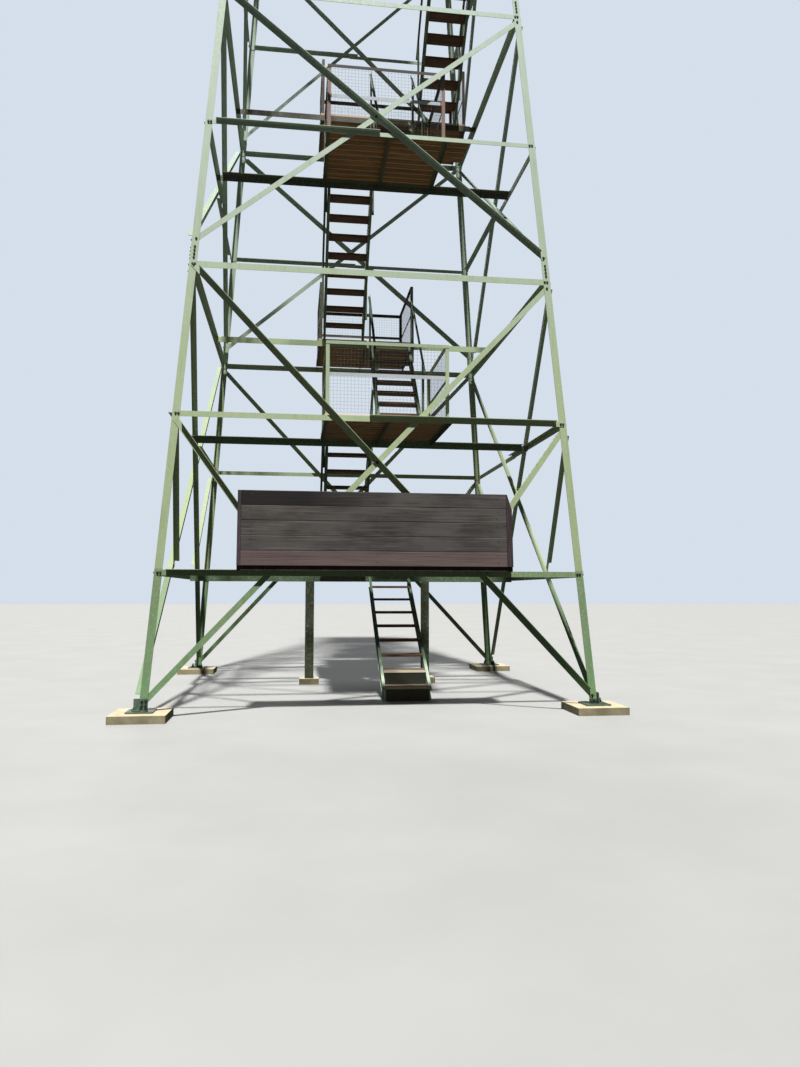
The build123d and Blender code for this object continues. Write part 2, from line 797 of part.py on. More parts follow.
with BuildPart() as far_rails:
    for level in range(1, TOP_LEVEL, 2):
        add(list(landing_rail_pieces(level)))
save(far_rails.part, "far_landing_rails")


def handrail_post(stair, x_inner, side, place):
    """An angle post outside a stringer, its top cut to the slope of the handrail."""
    low, high = place - HANDRAIL_SIZE / 2, place + HANDRAIL_SIZE / 2
    foot = pitch_line(stair, place) - rise_and_going(stair)[0] / 2 - STRINGER_DROP - HANDRAIL_SIZE

    def leg(x_width, y_high):
        top = HANDRAIL_HEIGHT - CLEAR
        points = [
            (low, foot),
            (y_high, foot),
            (y_high, pitch_line(stair, y_high) + top),
            (low, pitch_line(stair, low) + top),
        ]
        return prism(Plane.YZ.offset(min(x_inner, x_inner + side * x_width)), points, x_width)

    with BuildPart() as post:
        add([leg(RAIL_WALL, high), leg(HANDRAIL_SIZE, low + RAIL_WALL)])
    return post.part


def handrail(stair, x_inner, side):
    """An angle rail along a flight, with one leg over the posts and one upright beside the stair."""
    direction = 1 if stair.end > stair.start else -1
    start, end = stair.start + direction * HANDRAIL_SIZE, stair.end - direction * HANDRAIL_SIZE
    stretch = slope_stretch(stair)
    with BuildPart() as rail:
        for x_width, depth in ((HANDRAIL_SIZE, RAIL_WALL), (RAIL_WALL, HANDRAIL_SIZE)):
            x_low = min(x_inner, x_inner + side * x_width)
            add(sloped_strip(stair, x_low, x_width, HANDRAIL_HEIGHT, depth * stretch, start, end))
    return rail.part


def stair_rail_pieces(number):
    """A handrail and its two posts on each side of a flight."""
    stair = flight(number)
    inset = HANDRAIL_POST_INSET if stair.end > stair.start else -HANDRAIL_POST_INSET
    for side in (-1, 1):
        x_inner = stair.lane + side * (TREAD_LENGTH / 2 + 2 * CLEAR + STRINGER_FLANGE)
        yield handrail_post(stair, x_inner, side, stair.start + inset)
        yield handrail_post(stair, x_inner, side, stair.end - inset)
        yield handrail(stair, x_inner, side)


with BuildPart() as stair_rails:
    for number in range(2, FLIGHT_COUNT):
        add(list(stair_rail_pieces(number)))
save(stair_rails.part, "stair_handrails")


def sign_plane():
    """The plane of the sign's back: parallel to the near face, clear of the members' lips."""
    outward = face_outward("near")
    stand_off = ZONES[0].brace + 2 * CLEAR
    origin = face_point("near", 0, SIGN_BOTTOM) + outward * stand_off
    return Plane(origin, x_dir=(1, 0, 0), z_dir=outward)


sign_height = SIGN_BOARDS * SIGN_BOARD_HEIGHT

with BuildPart() as sign_battens:
    with BuildSketch(sign_plane()):
        for place in SIGN_BATTENS:
            with Locations((place, (sign_height - SIGN_BATTEN_DROP) / 2)):
                Rectangle(SIGN_BATTEN_WIDTH, sign_height + SIGN_BATTEN_DROP)
    extrude(amount=SIGN_BATTEN_THICKNESS)
save(sign_battens.part, "sign_battens")

with BuildPart() as sign_boards:
    with BuildSketch(sign_plane().offset(SIGN_BATTEN_THICKNESS + CLEAR)):
        for row in range(SIGN_BOARDS):
            with Locations(((SIGN_LEFT + SIGN_RIGHT) / 2, (row + 0.5) * SIGN_BOARD_HEIGHT)):
                Rectangle(SIGN_RIGHT - SIGN_LEFT, SIGN_BOARD_HEIGHT - SIGN_BOARD_GAP)
    extrude(amount=SIGN_BOARD_THICKNESS)
save(sign_boards.part, "sign_boards")

# Cab: beams and a floor with a hatch, four glazed walls and a hipped roof
cab_base = LEVELS[TOP_LEVEL]
cab_half = TOP_SPREAD / 2 + CAB_OVERLAP
hatch_x = (HATCH_LEFT + HATCH_RIGHT) / 2
hatch_y = (HATCH_NEAR + HATCH_FAR) / 2

with BuildPart() as cab_floor_beams:
    end, notch = girt_end(TOP_LEVEL, False)
    for place, toward in ((HATCH_NEAR, 1), (HATCH_FAR, -1)):
        plane = Plane((0, place, 0), x_dir=(1, 0, 0), z_dir=(0, -1, 0))
        add(notched_angle(plane, (-end, end), (notch, notch), notch_drop(TOP_LEVEL), cab_base,
                          BEAM_SIZE, BEAM_WALL, toward * BEAM_SIZE))
save(cab_floor_beams.part, "cab_floor_beams")

with BuildPart() as cab_floor:
    with BuildSketch(Plane.XY.offset(cab_base + CLEAR)):
        Rectangle(2 * cab_half, 2 * cab_half)
        with Locations((hatch_x, hatch_y)):
            Rectangle(HATCH_RIGHT - HATCH_LEFT, HATCH_FAR - HATCH_NEAR, mode=Mode.SUBTRACT)
    extrude(amount=CAB_FLOOR_THICKNESS - CLEAR)
save(cab_floor.part, "cab_floor")

wall_foot = cab_base + CAB_FLOOR_THICKNESS + CLEAR


def window_places(length):
    """Middles of the windows along a wall."""
    return [(n - (CAB_WINDOWS - 1) / 2) * length / CAB_WINDOWS for n in range(CAB_WINDOWS)]


def wall_plane(face, back):
    """An upright plane facing out of a side of the cab, its origin at the wall's foot."""
    outward = Vector(0, -1, 0).rotate(Axis.Z, 90 * FACES.index(face))
    across = Vector(1, 0, 0).rotate(Axis.Z, 90 * FACES.index(face))
    origin = outward * (cab_half - CAB_WALL + back) + Vector(0, 0, wall_foot)
    return Plane(origin, x_dir=across, z_dir=outward)


def wall_length(face):
    """The near and far walls run the full width and the side walls fit between them."""
    return 2 * cab_half if face in ("near", "far") else 2 * (cab_half - CAB_WALL - CLEAR)


window_height = CAB_WALL_HEIGHT - CAB_WINDOW_HEAD - CAB_SILL
window_middle = CAB_SILL + window_height / 2
window_pitch = 2 * (cab_half - CAB_WALL)

for face in FACES:
    with BuildPart() as cab_wall:
        with BuildSketch(wall_plane(face, 0)):
            with Locations((0, CAB_WALL_HEIGHT / 2)):
                Rectangle(wall_length(face), CAB_WALL_HEIGHT)
            for place in window_places(window_pitch):
                with Locations((place, window_middle)):
                    Rectangle(CAB_WINDOW_WIDTH, window_height, mode=Mode.SUBTRACT)
        extrude(amount=CAB_WALL)
    save(cab_wall.part, f"cab_{face}_wall")

with BuildPart() as cab_glass:
    for face in FACES:
        with BuildSketch(wall_plane(face, (CAB_WALL - CAB_GLASS) / 2)) as panes:
            for place in window_places(window_pitch):
                with Locations((place, window_middle)):
                    Rectangle(CAB_WINDOW_WIDTH - 2 * CLEAR, window_height - 2 * CLEAR)
        extrude(panes.sketch, amount=CAB_GLASS)
save(cab_glass.part, "cab_window_glass")

roof_foot = wall_foot + CAB_WALL_HEIGHT + CLEAR
roof_half = cab_half + ROOF_OVERHANG
roof_flat = FINIAL_RADIUS / 2


def add_pyramid(base_half, foot, mode=Mode.ADD):
    """A square pyramid at the roof's pitch, ending in a small flat."""
    with BuildSketch(Plane.XY.offset(foot)) as base:
        Rectangle(2 * base_half, 2 * base_half)
    height = ROOF_HEIGHT * (base_half - roof_flat) / (roof_half - roof_flat)
    slant = degrees(atan2(roof_half - roof_flat, ROOF_HEIGHT))
    extrude(base.sketch, amount=height, taper=slant, mode=mode)


# The roof is a boarded shell with a soffit round its eaves, open to the room inside the walls
with BuildPart() as cab_roof:
    with BuildSketch(Plane.XY.offset(roof_foot)):
        Rectangle(2 * roof_half, 2 * roof_half)
    extrude(amount=ROOF_FASCIA)
    add_pyramid(roof_half, roof_foot + ROOF_FASCIA)
    with BuildSketch(Plane.XY.offset(roof_foot)):
        Rectangle(2 * (cab_half - CAB_WALL), 2 * (cab_half - CAB_WALL))
    extrude(amount=ROOF_SOFFIT, mode=Mode.SUBTRACT)
    with BuildSketch(Plane.XY.offset(roof_foot + ROOF_SOFFIT)):
        Rectangle(2 * (roof_half - ROOF_SHEET), 2 * (roof_half - ROOF_SHEET))
    extrude(amount=ROOF_FASCIA - ROOF_SOFFIT, mode=Mode.SUBTRACT)
    add_pyramid(roof_half - ROOF_SHEET, roof_foot + ROOF_FASCIA, mode=Mode.SUBTRACT)
save(cab_roof.part, "cab_roof")

with BuildPart() as roof_finial:
    finial_foot = roof_foot + ROOF_FASCIA + ROOF_HEIGHT + CLEAR
    with BuildSketch(Plane.XY.offset(finial_foot)):
        Circle(FINIAL_RADIUS)
    extrude(amount=FINIAL_RADIUS)
    with BuildSketch(Plane.XY.offset(finial_foot + FINIAL_RADIUS)):
        Circle(ROD_RADIUS)
    extrude(amount=ROD_HEIGHT)
save(roof_finial.part, "roof_finial")
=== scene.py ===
"""The looks of a steel fire lookout tower: paint, timber, planks, bolts, mesh, sign and cab trim."""

import math
import random

import bpy
from mathutils import Matrix, Vector


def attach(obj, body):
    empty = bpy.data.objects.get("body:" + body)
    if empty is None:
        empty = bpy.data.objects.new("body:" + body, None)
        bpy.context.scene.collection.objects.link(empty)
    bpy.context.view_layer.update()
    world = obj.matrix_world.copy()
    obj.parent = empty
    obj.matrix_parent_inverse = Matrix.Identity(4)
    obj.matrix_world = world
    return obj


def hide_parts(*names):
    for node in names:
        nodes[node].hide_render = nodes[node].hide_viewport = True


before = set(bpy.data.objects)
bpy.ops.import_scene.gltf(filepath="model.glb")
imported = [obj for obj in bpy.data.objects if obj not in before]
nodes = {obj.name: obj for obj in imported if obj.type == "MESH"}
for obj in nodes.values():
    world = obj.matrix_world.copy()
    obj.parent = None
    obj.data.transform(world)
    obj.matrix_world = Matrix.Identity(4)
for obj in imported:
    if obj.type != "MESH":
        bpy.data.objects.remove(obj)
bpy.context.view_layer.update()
scene = bpy.context.scene
rng = random.Random(7)

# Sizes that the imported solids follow, in metres
SEAT = 0.0002
BASE = 0.119
FLOOR_HEIGHT = 24.384
FOOT_SPREAD, TOP_SPREAD = 6.026, 2.412
FIRST_STOREY, STOREY = 1.782, 2.134
LEVELS = [BASE] + [BASE + FIRST_STOREY + STOREY * n for n in range(6)]
UPPER_STOREY = (BASE + FLOOR_HEIGHT - LEVELS[-1]) / 6
LEVELS += [LEVELS[6] + UPPER_STOREY * (n + 1) for n in range(6)]
BATTER = (FOOT_SPREAD - TOP_SPREAD) / 2 / FLOOR_HEIGHT
# Bottom level, top level, leg, leg wall, brace, brace wall
ZONES = [
    (0, 3, 0.102, 0.010, 0.076, 0.006),
    (3, 5, 0.102, 0.008, 0.076, 0.006),
    (5, 7, 0.102, 0.008, 0.064, 0.006),
    (7, 9, 0.089, 0.008, 0.064, 0.006),
    (9, 12, 0.076, 0.008, 0.051, 0.005),
]
PANELS = [(0, 3), (3, 5), (5, 7), (7, 9), (9, 10), (10, 11), (11, 12)]
# Height of the diagonals' lower ends over the level where a panel starts
DIAGONAL_RISE = {0: 0.095, 3: 0.315, 5: 0.310, 7: 0.310, 9: 0.300, 10: 0.090, 11: 0.090}
GIRT_SIZE = {1: 0.076, 2: 0.076, 3: 0.089, 4: 0.064, 5: 0.076, 6: 0.064, 7: 0.064, 8: 0.064,
             9: 0.064, 10: 0.051, 11: 0.051, 12: 0.076}
LONG_GIRTS = (3, 5, 7, 9, 10, 11, 12)
SHOE_THICKNESS = 0.012

# Landings, decks, guard rails and stairs
LANDING_LEFT = -0.700
LANDING_RIGHT = {1: 1.06, 2: 1.09, 3: 1.06, 4: 1.10, 5: 2.05, 6: 1.90, 7: 1.09, 8: 1.06, 9: 1.06,
                 10: 1.04, 11: 1.04}
NEAR_BEAM, FAR_BEAM = 0.88, 0.75
LEAST_LANDING = 0.62
BAY_RIGHT, BAY_DEPTH = 1.43, 0.64
DECK = 0.038
DECK_MARGIN = 0.02
PLANK, PLANK_THICK = 0.142, DECK - 0.001
RAIL_HEIGHT = 1.06
RAIL_MARGIN = 0.1
ZINC_END = 0.085
ZINC_BAND = (0.559, 0.613)
LIP_DEPTH, LIP_THICK, LIP_END = 0.046, 0.004, 0.020
MESH_PITCH, MESH_END = 0.050, 0.032
WIRE_RADIUS = 0.0011
STAIR_LANES = (-0.245, 0.605, 1.485)
TREAD_HALF = 0.3251
FIRST_RISE = (LEVELS[1] + DECK) / 9

# The sign's boards and the strips that close its ends
SIGN_BATTENS = (-1.650, 0.0, 1.650)
SIGN_BATTEN_WIDTH = 0.089
SIGN_BATTEN_THICK = 0.038
SIGN_BOTTOM = 1.945
SIGN_ROWS = 5
SIGN_ROW = 0.200
SIGN_HEIGHT = SIGN_ROWS * SIGN_ROW
SIGN_BACK = GIRT_SIZE[1] + 2 * SEAT + SIGN_BATTEN_THICK + SEAT
SIGN_THICK = 0.038
SIGN_LEFT_STRIP = (-1.830, -1.7824)
SIGN_RIGHT_STRIP = (1.777, 1.855)
SIGN_STRIP_FOOT, SIGN_STRIP_TOP = 0.001, SIGN_HEIGHT - 0.002
SIGN_CUT_WIDTH, SIGN_CUT_FOOT = 0.014, SIGN_HEIGHT - 0.22
SIGN_GROOVE = 0.0006
SIGN_RAIL_TOP = 0.030

# The cab's walls, windows and roof
CAB_HALF = TOP_SPREAD / 2 + 0.045
WALL_FOOT = LEVELS[12] + DECK + SEAT
WALL_HEIGHT = 2.050
CAB_WALL = 0.040
SILL, WINDOW_TOP = 0.915, 1.850
SILL_DEPTH, SILL_REACH = 0.035, 0.055
WINDOW_WIDTH = 0.650
WINDOW_PITCH = 2 * (CAB_HALF - CAB_WALL) / 3
SASH, SASH_BAR = 0.042, 0.011
LAP, LAP_OVER, LAP_ROWS = 0.1145, 0.012, 8
CORNER_BOARD, CORNER_THICK = 0.085, 0.022
TRIM_BACK, HEAD_THICK, MULLION_THICK = 0.0005, 0.020, 0.016
ROOF_FOOT = WALL_FOOT + WALL_HEIGHT + SEAT
ROOF_FASCIA = 0.060
ROOF_HEIGHT = 0.720
ROOF_HALF = CAB_HALF + 0.230
ROOF_FLAT = 0.0375
SEAM_PITCH = 0.33
SEAM_WIDTH, SEAM_HEIGHT = 0.022, 0.026
HIP_WIDTH, HIP_HEIGHT = 0.085, 0.022

# Bolts: radii of heads, and where they sit
BRACE_BOLT, GIRT_BOLT = 0.014, 0.013
WASHER_THICK, HEAD_HEIGHT = 0.003, 0.013
BRACE_BOLT_INSET = 0.018
GIRT_BOLT_SHARES = (0.45, 0.8)
SPLICE_BOLT_SHARE = 0.52
SPLICE_BOLT_RISES = (0.048, 0.100, 0.155, 0.207)
# Side of the face, inset from the corner and height
SHOE_BOLTS = [(-1, 0.04, 0.055), (-1, 0.04, 0.115), (-1, 0.09, 0.055), (-1, 0.09, 0.115),
              (1, 0.04, 0.040), (1, 0.09, 0.040)]
# Side of the face and inset from the corner
ANCHORS = [(-1, 0.045), (-1, 0.105), (1, 0.022), (1, 0.085)]
ANCHOR_REACH = 0.055

BOX_FACES = [(0, 1, 5, 4), (1, 2, 6, 5), (2, 3, 7, 6), (3, 0, 4, 7), (3, 2, 1, 0), (4, 5, 6, 7)]

# The camera, and the photo's focal length and height in pixels
CAMERA_PLACE = (-1.0795, -13.5887, 1.6214)
CAMERA_RIGHT = Vector((0.99149112, -0.1301588, 0.0020122))
CAMERA_UP = Vector((-0.01141908, -0.07156643, 0.99737047))
CAMERA_AHEAD = Vector((0.12967253, 0.98890694, 0.07244377))
FOCAL_PIXELS, PHOTO_PIXELS = 802.0, 1067.0
SENSOR = 36.0
FLOOR_HALF = 90


def half(z):
    """Half the spread of the legs' outer faces at a height."""
    return FOOT_SPREAD / 2 - BATTER * (z - BASE)


def zone_at(level):
    """The sizes of the angles in the zone that ends at or over a level."""
    return next(zone for zone in ZONES if level <= zone[1])


def landing_side(level):
    """-1 on the near side, where even levels have their landings, and 1 on the far side."""
    return -1 if level % 2 == 0 else 1


def beam_reach(level):
    """The distance of a landing's inner beam from the middle."""
    wanted = NEAR_BEAM if level % 2 == 0 else FAR_BEAM
    return min(wanted, half(LEVELS[level]) - LEAST_LANDING)


def deck_outer(level):
    """The distance of a deck's outer edge from the middle."""
    _, _, _, wall, brace, _ = zone_at(level)
    return half(LEVELS[level]) - wall - max(brace, GIRT_SIZE[level] / 2) - DECK_MARGIN


def rail_outer(level):
    """The distance of a guard rail's outer face from the middle."""
    return min(half(LEVELS[level] + RAIL_HEIGHT) - RAIL_MARGIN, deck_outer(level))


def diagonal_ends(panel, rising):
    """The two ends of a diagonal on its face, as distance across and height."""
    bottom, top = panel
    _, _, leg, wall, brace, _ = zone_at(top)
    low = LEVELS[bottom] + DIAGONAL_RISE[bottom]
    high = LEVELS[top] - (GIRT_SIZE[top] + brace / 2 if rising else GIRT_SIZE[top] / 2)
    inset = wall + brace / 2 if rising else leg / 2
    left, right = (low, high) if rising else (high, low)
    return (-half(left) + inset, left), (half(right) - inset, right)


def crossing(panel):
    """Where a panel's two diagonals cross, as distance across and height."""
    (x1, z1), (x2, z2) = diagonal_ends(panel, True)
    (x3, z3), (x4, z4) = diagonal_ends(panel, False)
    m1, m2 = (z2 - z1) / (x2 - x1), (z4 - z3) / (x4 - x3)
    x = (z3 - z1 + m1 * x1 - m2 * x3) / (m1 - m2)
    return x, z1 + m1 * (x - x1)


def girt_outside(level, side):
    """Whether a girt lies outside the leg flanges on one side of the face."""
    if level in LONG_GIRTS:
        return False
    panel = next(p for p in PANELS if p[0] < level < p[1])
    below = crossing(panel)[1] > LEVELS[level]
    return below if side < 0 else not below


def face_turn(face):
    """The turn from the near face to a face: 0 near, 1 right, 2 far, 3 left."""
    return Matrix.Rotation(math.radians(90 * face), 3, "Z")


def on_face(face, across, z, out=0.0):
    """A point on a battered face, stood off outwards."""
    p = Vector((across, -half(z), z)) + Vector((0, -1, BATTER)).normalized() * out
    return face_turn(face) @ p


def face_out(face):
    """The outward direction of a battered face."""
    return face_turn(face) @ Vector((0, -1, BATTER)).normalized()


def rectangle(left, right, low, high):
    """The corners of an upright rectangle."""
    return [(left, low), (right, low), (right, high), (left, high)]


def ring_faces(n):
    """The faces between two rings of n corners, and the two ends."""
    sides = [(k, (k + 1) % n, n + (k + 1) % n, n + k) for k in range(n)]
    return sides + [tuple(reversed(range(n))), tuple(range(n, 2 * n))]


class Maker:
    """Gathers faces into one mesh object."""

    def __init__(self):
        self.verts, self.faces, self.slots = [], [], []

    def add(self, verts, faces, slot=0):
        start = len(self.verts)
        self.verts += [tuple(v) for v in verts]
        self.faces += [tuple(start + i for i in f) for f in faces]
        self.slots += [slot] * len(faces)

    def box(self, centre, size, rot=None, chamfer=0.0):
        """A box, with its long edges chamfered where asked."""
        rot = rot or Matrix.Identity(3)
        hx, hy, hz = (s / 2 for s in size)
        c = min(chamfer, hy * 0.4, hz * 0.4)
        if c <= 0:
            ring = [(-hy, -hz), (hy, -hz), (hy, hz), (-hy, hz)]
        else:
            ring = [(-hy + c, -hz), (hy - c, -hz), (hy, -hz + c), (hy, hz - c),
                    (hy - c, hz), (-hy + c, hz), (-hy, hz - c), (-hy, -hz + c)]
        verts = [Vector(centre) + rot @ Vector((x, y, z)) for x in (-hx, hx) for y, z in ring]
        self.add(verts, [tuple(reversed(f)) for f in ring_faces(len(ring))])

    def prism(self, base, axis, radius, height, sides=6, turn=0.0):
        """A prism of a regular polygon standing on a point along an axis."""
        axis = Vector(axis).normalized()
        u = axis.orthogonal().normalized()
        v = axis.cross(u)
        verts = []
        for h in (0.0, height):
            for k in range(sides):
                a = turn + 2 * math.pi * k / sides
                verts.append(Vector(base) + axis * h + (u * math.cos(a) + v * math.sin(a)) * radius)
        self.add(verts, ring_faces(sides))

    def slab(self, place, outline, low, high, slot=0):
        """A slab on a plane, given as origin, across, up and out, from an outline and two stand-offs."""
        origin, across, up, out = place
        verts = [origin + across * x + up * y + out * d for d in (low, high) for x, y in outline]
        self.add(verts, ring_faces(len(outline)), slot)

    def build(self, name, materials, bevel=0.0):
        mesh = bpy.data.meshes.new(name)
        mesh.from_pydata(self.verts, [], self.faces)
        mesh.polygons.foreach_set("material_index", self.slots)
        mesh.update()
        obj = bpy.data.objects.new(name, mesh)
        scene.collection.objects.link(obj)
        for m in materials:
            mesh.materials.append(m)
        if bevel:
            b = obj.modifiers.new("edge", "BEVEL")
            b.width, b.segments, b.limit_method = bevel, 1, "ANGLE"
        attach(obj, "root")
        return obj


class Nodes:
    """Short calls for a material's node tree."""

    def __init__(self, name):
        self.mat = bpy.data.materials.new(name)
        self.mat.use_nodes = True
        self.tree = self.mat.node_tree
        self.bsdf = self.tree.nodes["Principled BSDF"]

    def node(self, kind, **values):
        n = self.tree.nodes.new(kind)
        for key, value in values.items():
            setattr(n, key, value)
        return n

    def link(self, a, b):
        self.tree.links.new(a, b)

    def fill(self, socket, value):
        """Gives a socket a number, a colour or a link."""
        if isinstance(value, (int, float)):
            socket.default_value = value
        elif isinstance(value, tuple):
            socket.default_value = (*value, 1.0)
        else:
            self.link(value, socket)

    def position(self):
        return self.node("ShaderNodeNewGeometry").outputs["Position"]

    def axes(self, vector):
        """The coordinates of a vector, by the names of their axes."""
        s = self.node("ShaderNodeSeparateXYZ")
        self.link(vector, s.inputs[0])
        return s.outputs

    def facing(self, axis):
        """How far a surface faces along an axis."""
        return self.axes(self.node("ShaderNodeNewGeometry").outputs["Normal"])[axis]

    def scaled(self, vector, scale):
        m = self.node("ShaderNodeVectorMath", operation="MULTIPLY")
        m.inputs[1].default_value = scale
        self.link(vector, m.inputs[0])
        return m.outputs[0]

    def noise(self, vector, scale, detail=3.0, rough=0.55, distortion=0.0):
        n = self.node("ShaderNodeTexNoise")
        n.inputs["Scale"].default_value = scale
        n.inputs["Detail"].default_value = detail
        n.inputs["Roughness"].default_value = rough
        n.inputs["Distortion"].default_value = distortion
        self.link(vector, n.inputs["Vector"])
        return n.outputs["Fac"]

    def remap(self, value, lo, hi, to_lo=0.0, to_hi=1.0):
        m = self.node("ShaderNodeMapRange")
        for k, v in enumerate((lo, hi, to_lo, to_hi)):
            m.inputs[k + 1].default_value = v
        self.link(value, m.inputs[0])
        return m.outputs[0]

    def mix(self, factor, a, b, blend="MIX"):
        m = self.node("ShaderNodeMix", data_type="RGBA", blend_type=blend)
        for socket, value in ((m.inputs[0], factor), (m.inputs[6], a), (m.inputs[7], b)):
            self.fill(socket, value)
        return m.outputs[2]

    def maths(self, op, a, b=0.0):
        m = self.node("ShaderNodeMath", operation=op)
        self.fill(m.inputs[0], a)
        self.fill(m.inputs[1], b)
        return m.outputs[0]

    def between(self, value, low, high):
        """1 where a value lies between two limits, else 0."""
        return self.maths("MULTIPLY", self.maths("GREATER_THAN", value, low),
                          self.maths("LESS_THAN", value, high))

    def bump(self, first, second, strength, distance):
        """Relief from two heights, each given with its share."""
        shares = [self.maths("MULTIPLY", value, share) for value, share in (first, second)]
        b = self.node("ShaderNodeBump")
        b.inputs["Strength"].default_value = strength
        b.inputs["Distance"].default_value = distance
        self.link(self.maths("ADD", *shares), b.inputs["Height"])
        self.link(b.outputs[0], self.bsdf.inputs["Normal"])

    def finish(self, colour, rough):
        self.link(colour, self.bsdf.inputs["Base Color"])
        self.fill(self.bsdf.inputs["Roughness"], rough)
        return self.mat


def srgb(r, g, b):
    """A linear colour from an 8-bit one."""
    out = []
    for v in (r, g, b):
        v /= 255
        out.append(v / 12.92 if v <= 0.04045 else ((v + 0.055) / 1.055) ** 2.4)
    return tuple(out)


def times(values, factor):
    """A colour or a scale with each of its values multiplied."""
    return tuple(v * factor for v in values)


def by_height(n, z, stops):
    """A colour that changes with height through stops of height and colour."""
    colour = stops[0][1]
    for (low, _), (high, tone) in zip(stops, stops[1:]):
        colour = n.mix(n.remap(z, low, high), colour, tone)
    return colour


def zinc_rails(n, place, colour):
    """Bare zinc on the long middle rails of the second and fourth landings."""
    along = n.between(place["X"], LANDING_LEFT + ZINC_END, LANDING_RIGHT[2] - ZINC_END)
    for level in (2, 4):
        deck_top = LEVELS[level] + DECK
        band = n.between(place["Z"], deck_top + ZINC_BAND[0], deck_top + ZINC_BAND[1])
        colour = n.mix(n.maths("MULTIPLY", band, along), colour, srgb(186, 194, 202))
    return colour


def painted_steel(name, stops, dull=0.55, chips=0.35, parts=None):
    """Old oil paint on rolled steel, by height, with faint runs, chalking, dirt and a few rust specks."""
    n = Nodes(name)
    p = n.position()
    place = n.axes(p)
    colour = by_height(n, place["Z"], stops)
    if parts:
        colour = parts(n, place, colour)
    cloud = n.noise(p, 2.3, 4.0)
    colour = n.mix(n.remap(cloud, 0.38, 0.7, 0.0, 0.35), colour, (0.80, 0.84, 0.78), "MULTIPLY")
    runs = n.noise(n.scaled(p, (26, 26, 2.2)), 1.0, 4.0)
    colour = n.mix(n.remap(runs, 0.52, 0.78, 0.0, 0.55), colour, (0.66, 0.68, 0.58), "MULTIPLY")
    chalk = n.noise(p, 34.0, 3.0)
    colour = n.mix(n.remap(chalk, 0.52, 0.8, 0.0, 0.25), colour, (0.62, 0.68, 0.58))
    rust = n.noise(p, 11.0, 6.0, 0.72)
    colour = n.mix(n.remap(rust, 0.69, 0.735, 0.0, chips), colour, srgb(104, 70, 50))
    fine = n.noise(p, 120.0, 2.0)
    n.bump((fine, 0.5), (rust, 0.8), 0.3, 0.002)
    return n.finish(colour, n.remap(chalk, 0.3, 0.8, dull - 0.1, dull + 0.2))


def wood_grain(n, p, tones, wear, along="X"):
    """Sawn wood with grain along the board, checks and grey weather, which is heaviest on its top; the
    lighter grain left on the undersides is painted light reflected from the ground.
    """
    dark, light, grey = tones
    squeeze = {"X": (1.6, 34, 34), "Z": (34, 34, 1.6)}[along]
    lines = n.noise(n.scaled(p, squeeze), 1.0, 5.0, 0.6, 0.6)
    fine = n.noise(n.scaled(p, times(squeeze, 3.4)), 1.0, 3.0, 0.7)
    colour = n.mix(n.remap(lines, 0.32, 0.68), dark, light)
    colour = n.mix(n.remap(fine, 0.5, 0.72, 0.0, 0.55), colour, times(dark, 0.5))
    patch = n.remap(n.noise(n.scaled(p, times(squeeze, 0.16)), 1.0, 4.0), 0.45, 0.7, 0.0, wear)
    # Tops greyed by weather; undersides keep the lighter grain as painted light reflected up from the
    # ground
    upward = n.remap(n.facing("Z"), 0.2, 0.8, 0.0, 0.6)
    weather = n.mix(n.remap(fine, 0.35, 0.65), grey, times(grey, 0.6))
    return n.mix(n.maths("MAXIMUM", patch, upward), colour, weather), lines, fine


def timber(name, tones, wear=0.3, along="X", pale_front=None):
    """Old boards, each of its own tone, with a pale tone on the faces turned to the near side where asked.
    """
    n = Nodes(name)
    colour, lines, fine = wood_grain(n, n.position(), tones, wear, along)
    isle = n.node("ShaderNodeNewGeometry").outputs["Random Per Island"]
    colour = n.mix(n.remap(isle, 0.0, 1.0, 0.0, 0.6), colour, (0.55, 0.55, 0.58), "MULTIPLY")
    if pale_front:
        # Pale tone on the faces turned to the near side
        front = n.maths("LESS_THAN", n.facing("Y"), -0.5)
        colour = n.mix(n.maths("MULTIPLY", front, n.remap(lines, 0.3, 0.7, 0.95, 0.6)), colour, pale_front)
    n.bump((lines, 0.7), (fine, 0.6), 0.55, 0.004)
    n.bsdf.inputs["Specular IOR Level"].default_value = 0.25
    return n.finish(colour, n.remap(fine, 0.3, 0.8, 0.68, 0.92))


